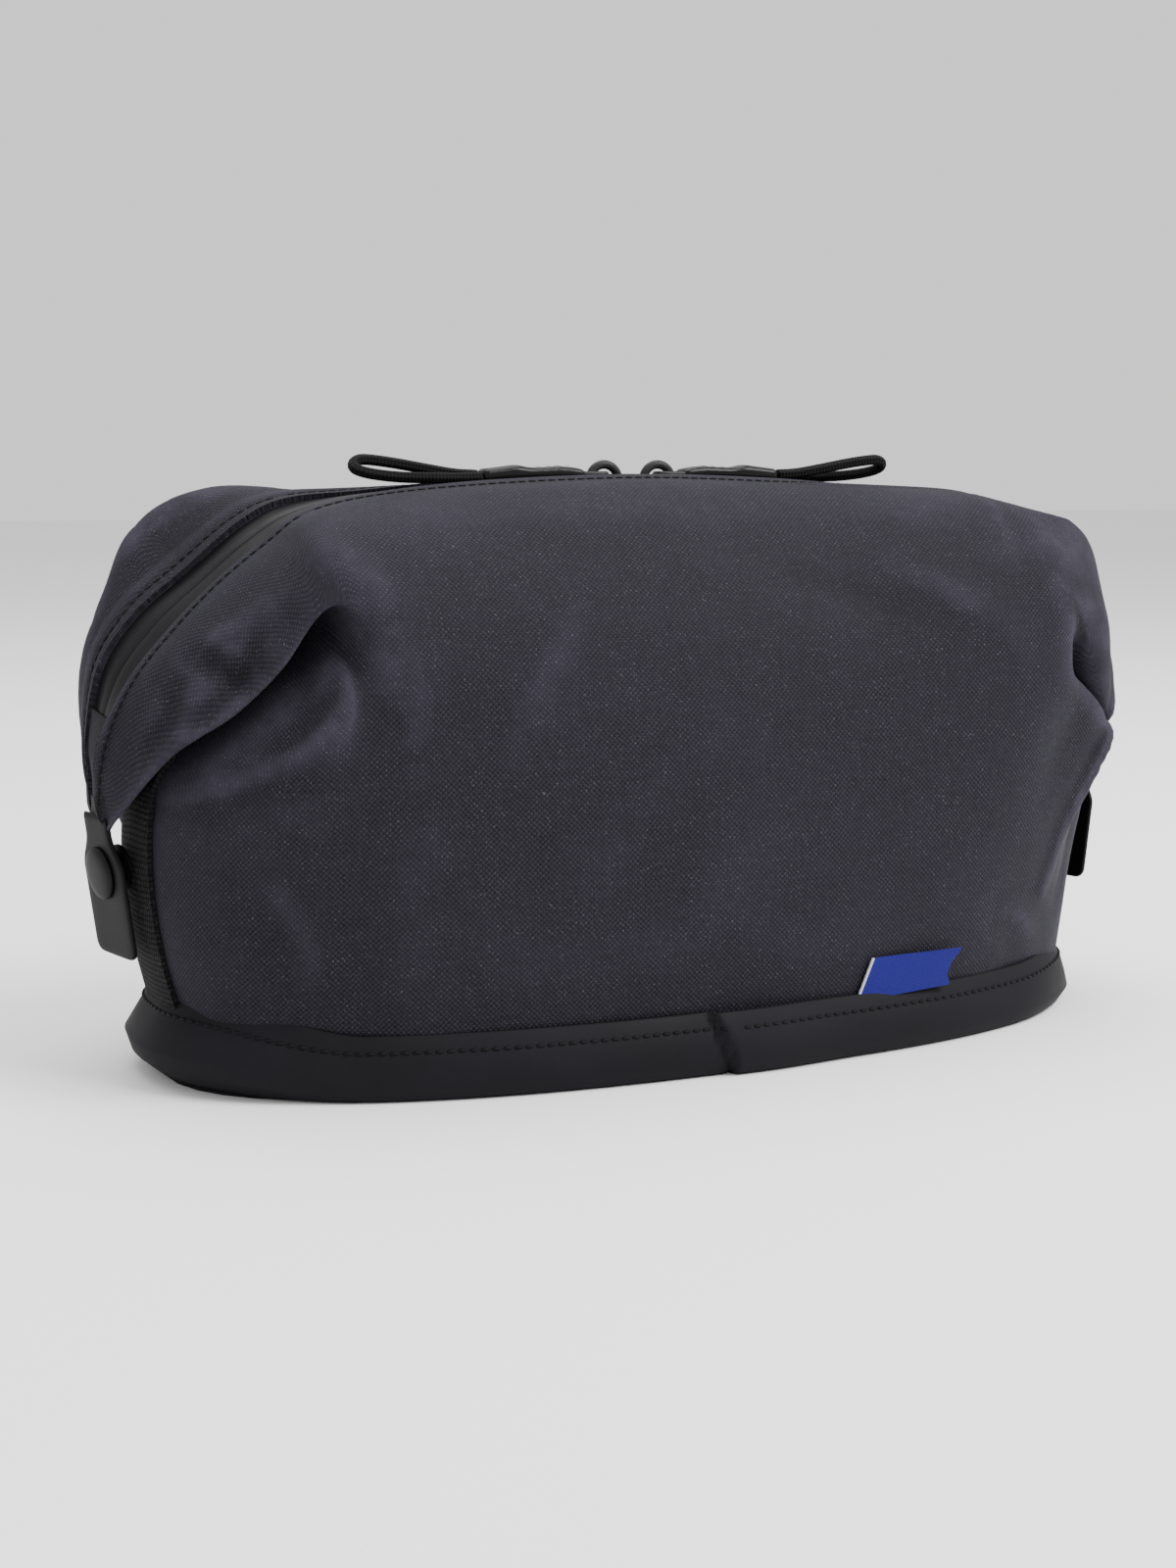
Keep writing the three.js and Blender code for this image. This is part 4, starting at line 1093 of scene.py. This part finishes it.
def make_label(finish):
    """Plain ribbon sewn into the band's seam, leaning to the right, with a notched right edge."""
    u, v = np.meshgrid(np.linspace(0, 1, 61), np.linspace(0, 1, 25), indexing="ij")
    right = 1 - 0.06 * smoothstep(v, 0.95, 0.6) * smoothstep(v, 0.0, 0.35)
    left_x, right_x = 39.3 + 5.1 * v, 69.7 + 3.6 * v
    x = left_x + (right_x - left_x) * u * right
    z = (14.7 + 11.8 * v) * (1 - u) + (16.7 + 10.2 * v) * u
    bow = 0.5 * np.sin(u * 5.0 + 0.6) * v
    y = -60.2 - 0.4 * v + 0.025 * (x - 40) + bow * 0.7
    grid = np.stack([x, y, z], axis=-1)
    uv = np.stack([(x - left_x), 12 * v], axis=-1)
    ribbon = shell("ribbon_label", grid, 0.5, finish["label"], uv=uv)
    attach(ribbon, "bag")
    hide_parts("side_label")


# ---------------------------------------------------------------- sliders and pulls
# The cord's centre line from its exit round to its return, from the pull's pivot.
LOOP_ROUTE = np.array([
    (-37.6, -1.7, -0.9), (-44, -2, -1), (-52, -2.4, -0.9), (-60, -2.6, -0.7), (-66, -2.6, -0.2), (-70.4, -2.3, 0.5),
    (-72.8, -1.2, 1.3), (-73.4, 0.2, 2.2), (-72.6, 1.5, 3.3), (-70.4, 2.3, 4), (-66.5, 2.6, 3.8), (-60, 2.5, 2.9),
    (-52, 2.3, 1.5), (-44, 1.9, 0.2), (-37.6, 1.7, -0.2),
])
# Distance along the grip, half width, half thickness and lift of its middle.
GRIP = np.array([
    (-7, 3.2, 1.2, 0), (-9, 3.6, 1.8, 0), (-14, 3.4, 2.0, 0.3), (-18, 3.3, 1.8, 0.3), (-23, 3.3, 1.8, 0.2),
    (-27, 3.6, 2.3, 0.3), (-31, 3.5, 2.1, 0.1), (-37.2, 3.5, 2.0, -0.5),
])


def make_pulls(finish):
    """Each slider with its arch, the wire eye on it, the moulded grip and the braided loop behind that."""
    pivot = np.array([-SLIDER_X, 0, PULL_PIVOT_Z])
    for end, turn in END_TURNS.items():
        middle = np.array([-SLIDER_X, 0.0]) * turn[:2]
        bow = np.linspace(-0.12, np.pi + 0.12, 30)
        arch = 4.4 * np.stack([np.cos(bow), np.zeros(30), np.sin(bow)], axis=1) + (-SLIDER_X, 0, 155.3)
        shape = [
            plate(middle, (6.5, 4.5), 153.9, 155.4, 0.5, 3.2),
            plate(middle, (6.0, 4.5), 149.5, 150.7, 0.35, 3.2),
            plate(middle, (3.0, 0.8), 150.4, 154.2, 0.1, 4.0),
            rod(arch * turn, 1.25, 16, 1.05),
        ]
        slider = joined(f"slider_body_{end}", shape, finish["slider"])
        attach(slider, f"slider_{end}")
        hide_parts(f"slider_{end}")
        wire = [(-8, -2.2, 0), (-5, -2.55, 0), (-1.6, -2.55, 0), (-0.4, -2.0, 0), (0, -1, 0), (0, 1, 0),
                (-0.4, 2.0, 0), (-1.6, 2.55, 0), (-5, 2.55, 0), (-8, 2.2, 0)]
        eye = joined(f"wire_eye_{end}", [rod((spline(wire, 5) + pivot) * turn, 0.85)], finish["slider"])
        rows = spline(GRIP, 8)
        ends = np.clip(np.minimum(np.abs(rows[:, 0] + 7), np.abs(rows[:, 0] + 37.2)) / 0.8, 0, 1)
        ease = 0.75 + 0.25 * np.sqrt(1 - (1 - ends) ** 2)
        ribbed = smoothstep(rows[:, 0], -24, -20) * smoothstep(rows[:, 0], -10, -12)
        ridge = 1 + 0.05 * np.cos(rows[:, 0] * 2.2) * ribbed
        section = oval(1, 1, 3.0, 40)
        rings = np.stack(
            [
                np.broadcast_to(rows[:, :1], (len(rows), 40)),
                section[:, 0] * (rows[:, 1] * ease)[:, None],
                section[:, 1] * (rows[:, 2] * ease * ridge)[:, None] + rows[:, 3:],
            ],
            axis=-1,
        )
        grip = joined(f"moulded_grip_{end}", [solid((rings + pivot) * turn)], finish["grip"])
        route = (resample(spline(LOOP_ROUTE, 10), step=0.8) + pivot) * turn
        braid = tube(route, CORD_RADIUS, 16, f"braid_loop_{end}", finish["cord"])
        parts = ((eye, "pull_eye", "zip"), (grip, "pull_grip", "grip"), (braid, "pull_loop", "webbing"))
        for piece, node, slot in parts:
            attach(piece, f"pull_{end}")
            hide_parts(f"{node}_{end}")


# ---------------------------------------------------------------- the studio
def make_studio():
    """Pale floor that runs to the horizon, an even pale sky, and three softboxes."""
    mesh = bpy.data.meshes.new("floor")
    mesh.from_pydata([(-6, -6, 0), (6, -6, 0), (6, 6, 0), (-6, 6, 0)], [], [(0, 1, 2, 3)])
    paper, _, shader = material("pale paper", Roughness=0.9, Specular_IOR_Level=0.1)
    shader.inputs["Base Color"].default_value = (0.9, 0.9, 0.9, 1)
    mesh.materials.append(paper)
    floor = bpy.data.objects.new("floor", mesh)
    bpy.context.collection.objects.link(floor)
    world = bpy.data.worlds.new("studio")
    world.use_nodes = True
    sky = world.node_tree.nodes["Background"].inputs
    sky["Color"].default_value = (1, 1, 1, 1)
    sky["Strength"].default_value = 1.05
    bpy.context.scene.world = world
    make_light("key", (0.9, -0.9, 1.3), (0, 0, 0.08), 0.9, 46)
    make_light("top", (0.0, 0.3, 1.5), (0, 0, 0.1), 1.2, 22)
    make_light("fill", (-1.1, -0.7, 0.7), (0, 0, 0.08), 0.9, 1.5)


def main():
    """The camera and the cords come first, then the rest of the bag and the studio."""
    make_camera()
    finish = make_materials()
    front, back = shaped_canvas(FRONT_FOLDS, 7), shaped_canvas(BACK_FOLDS, 11)
    faces = {"front": front, "back": back}
    make_pulls(finish)
    make_canvas(finish, faces)
    make_zip(finish, front)
    make_zip_ends(finish, front)
    make_seams(finish, faces)
    make_band(finish)
    make_webbing(finish, front, back)
    make_tabs(finish)
    make_label(finish)
    for node, kind in (("base_panel", "band"), ("base_board", "board")):
        slots = bpy.data.objects[node].data.materials
        slots.clear()
        slots.append(finish[kind])
    make_studio()


main()
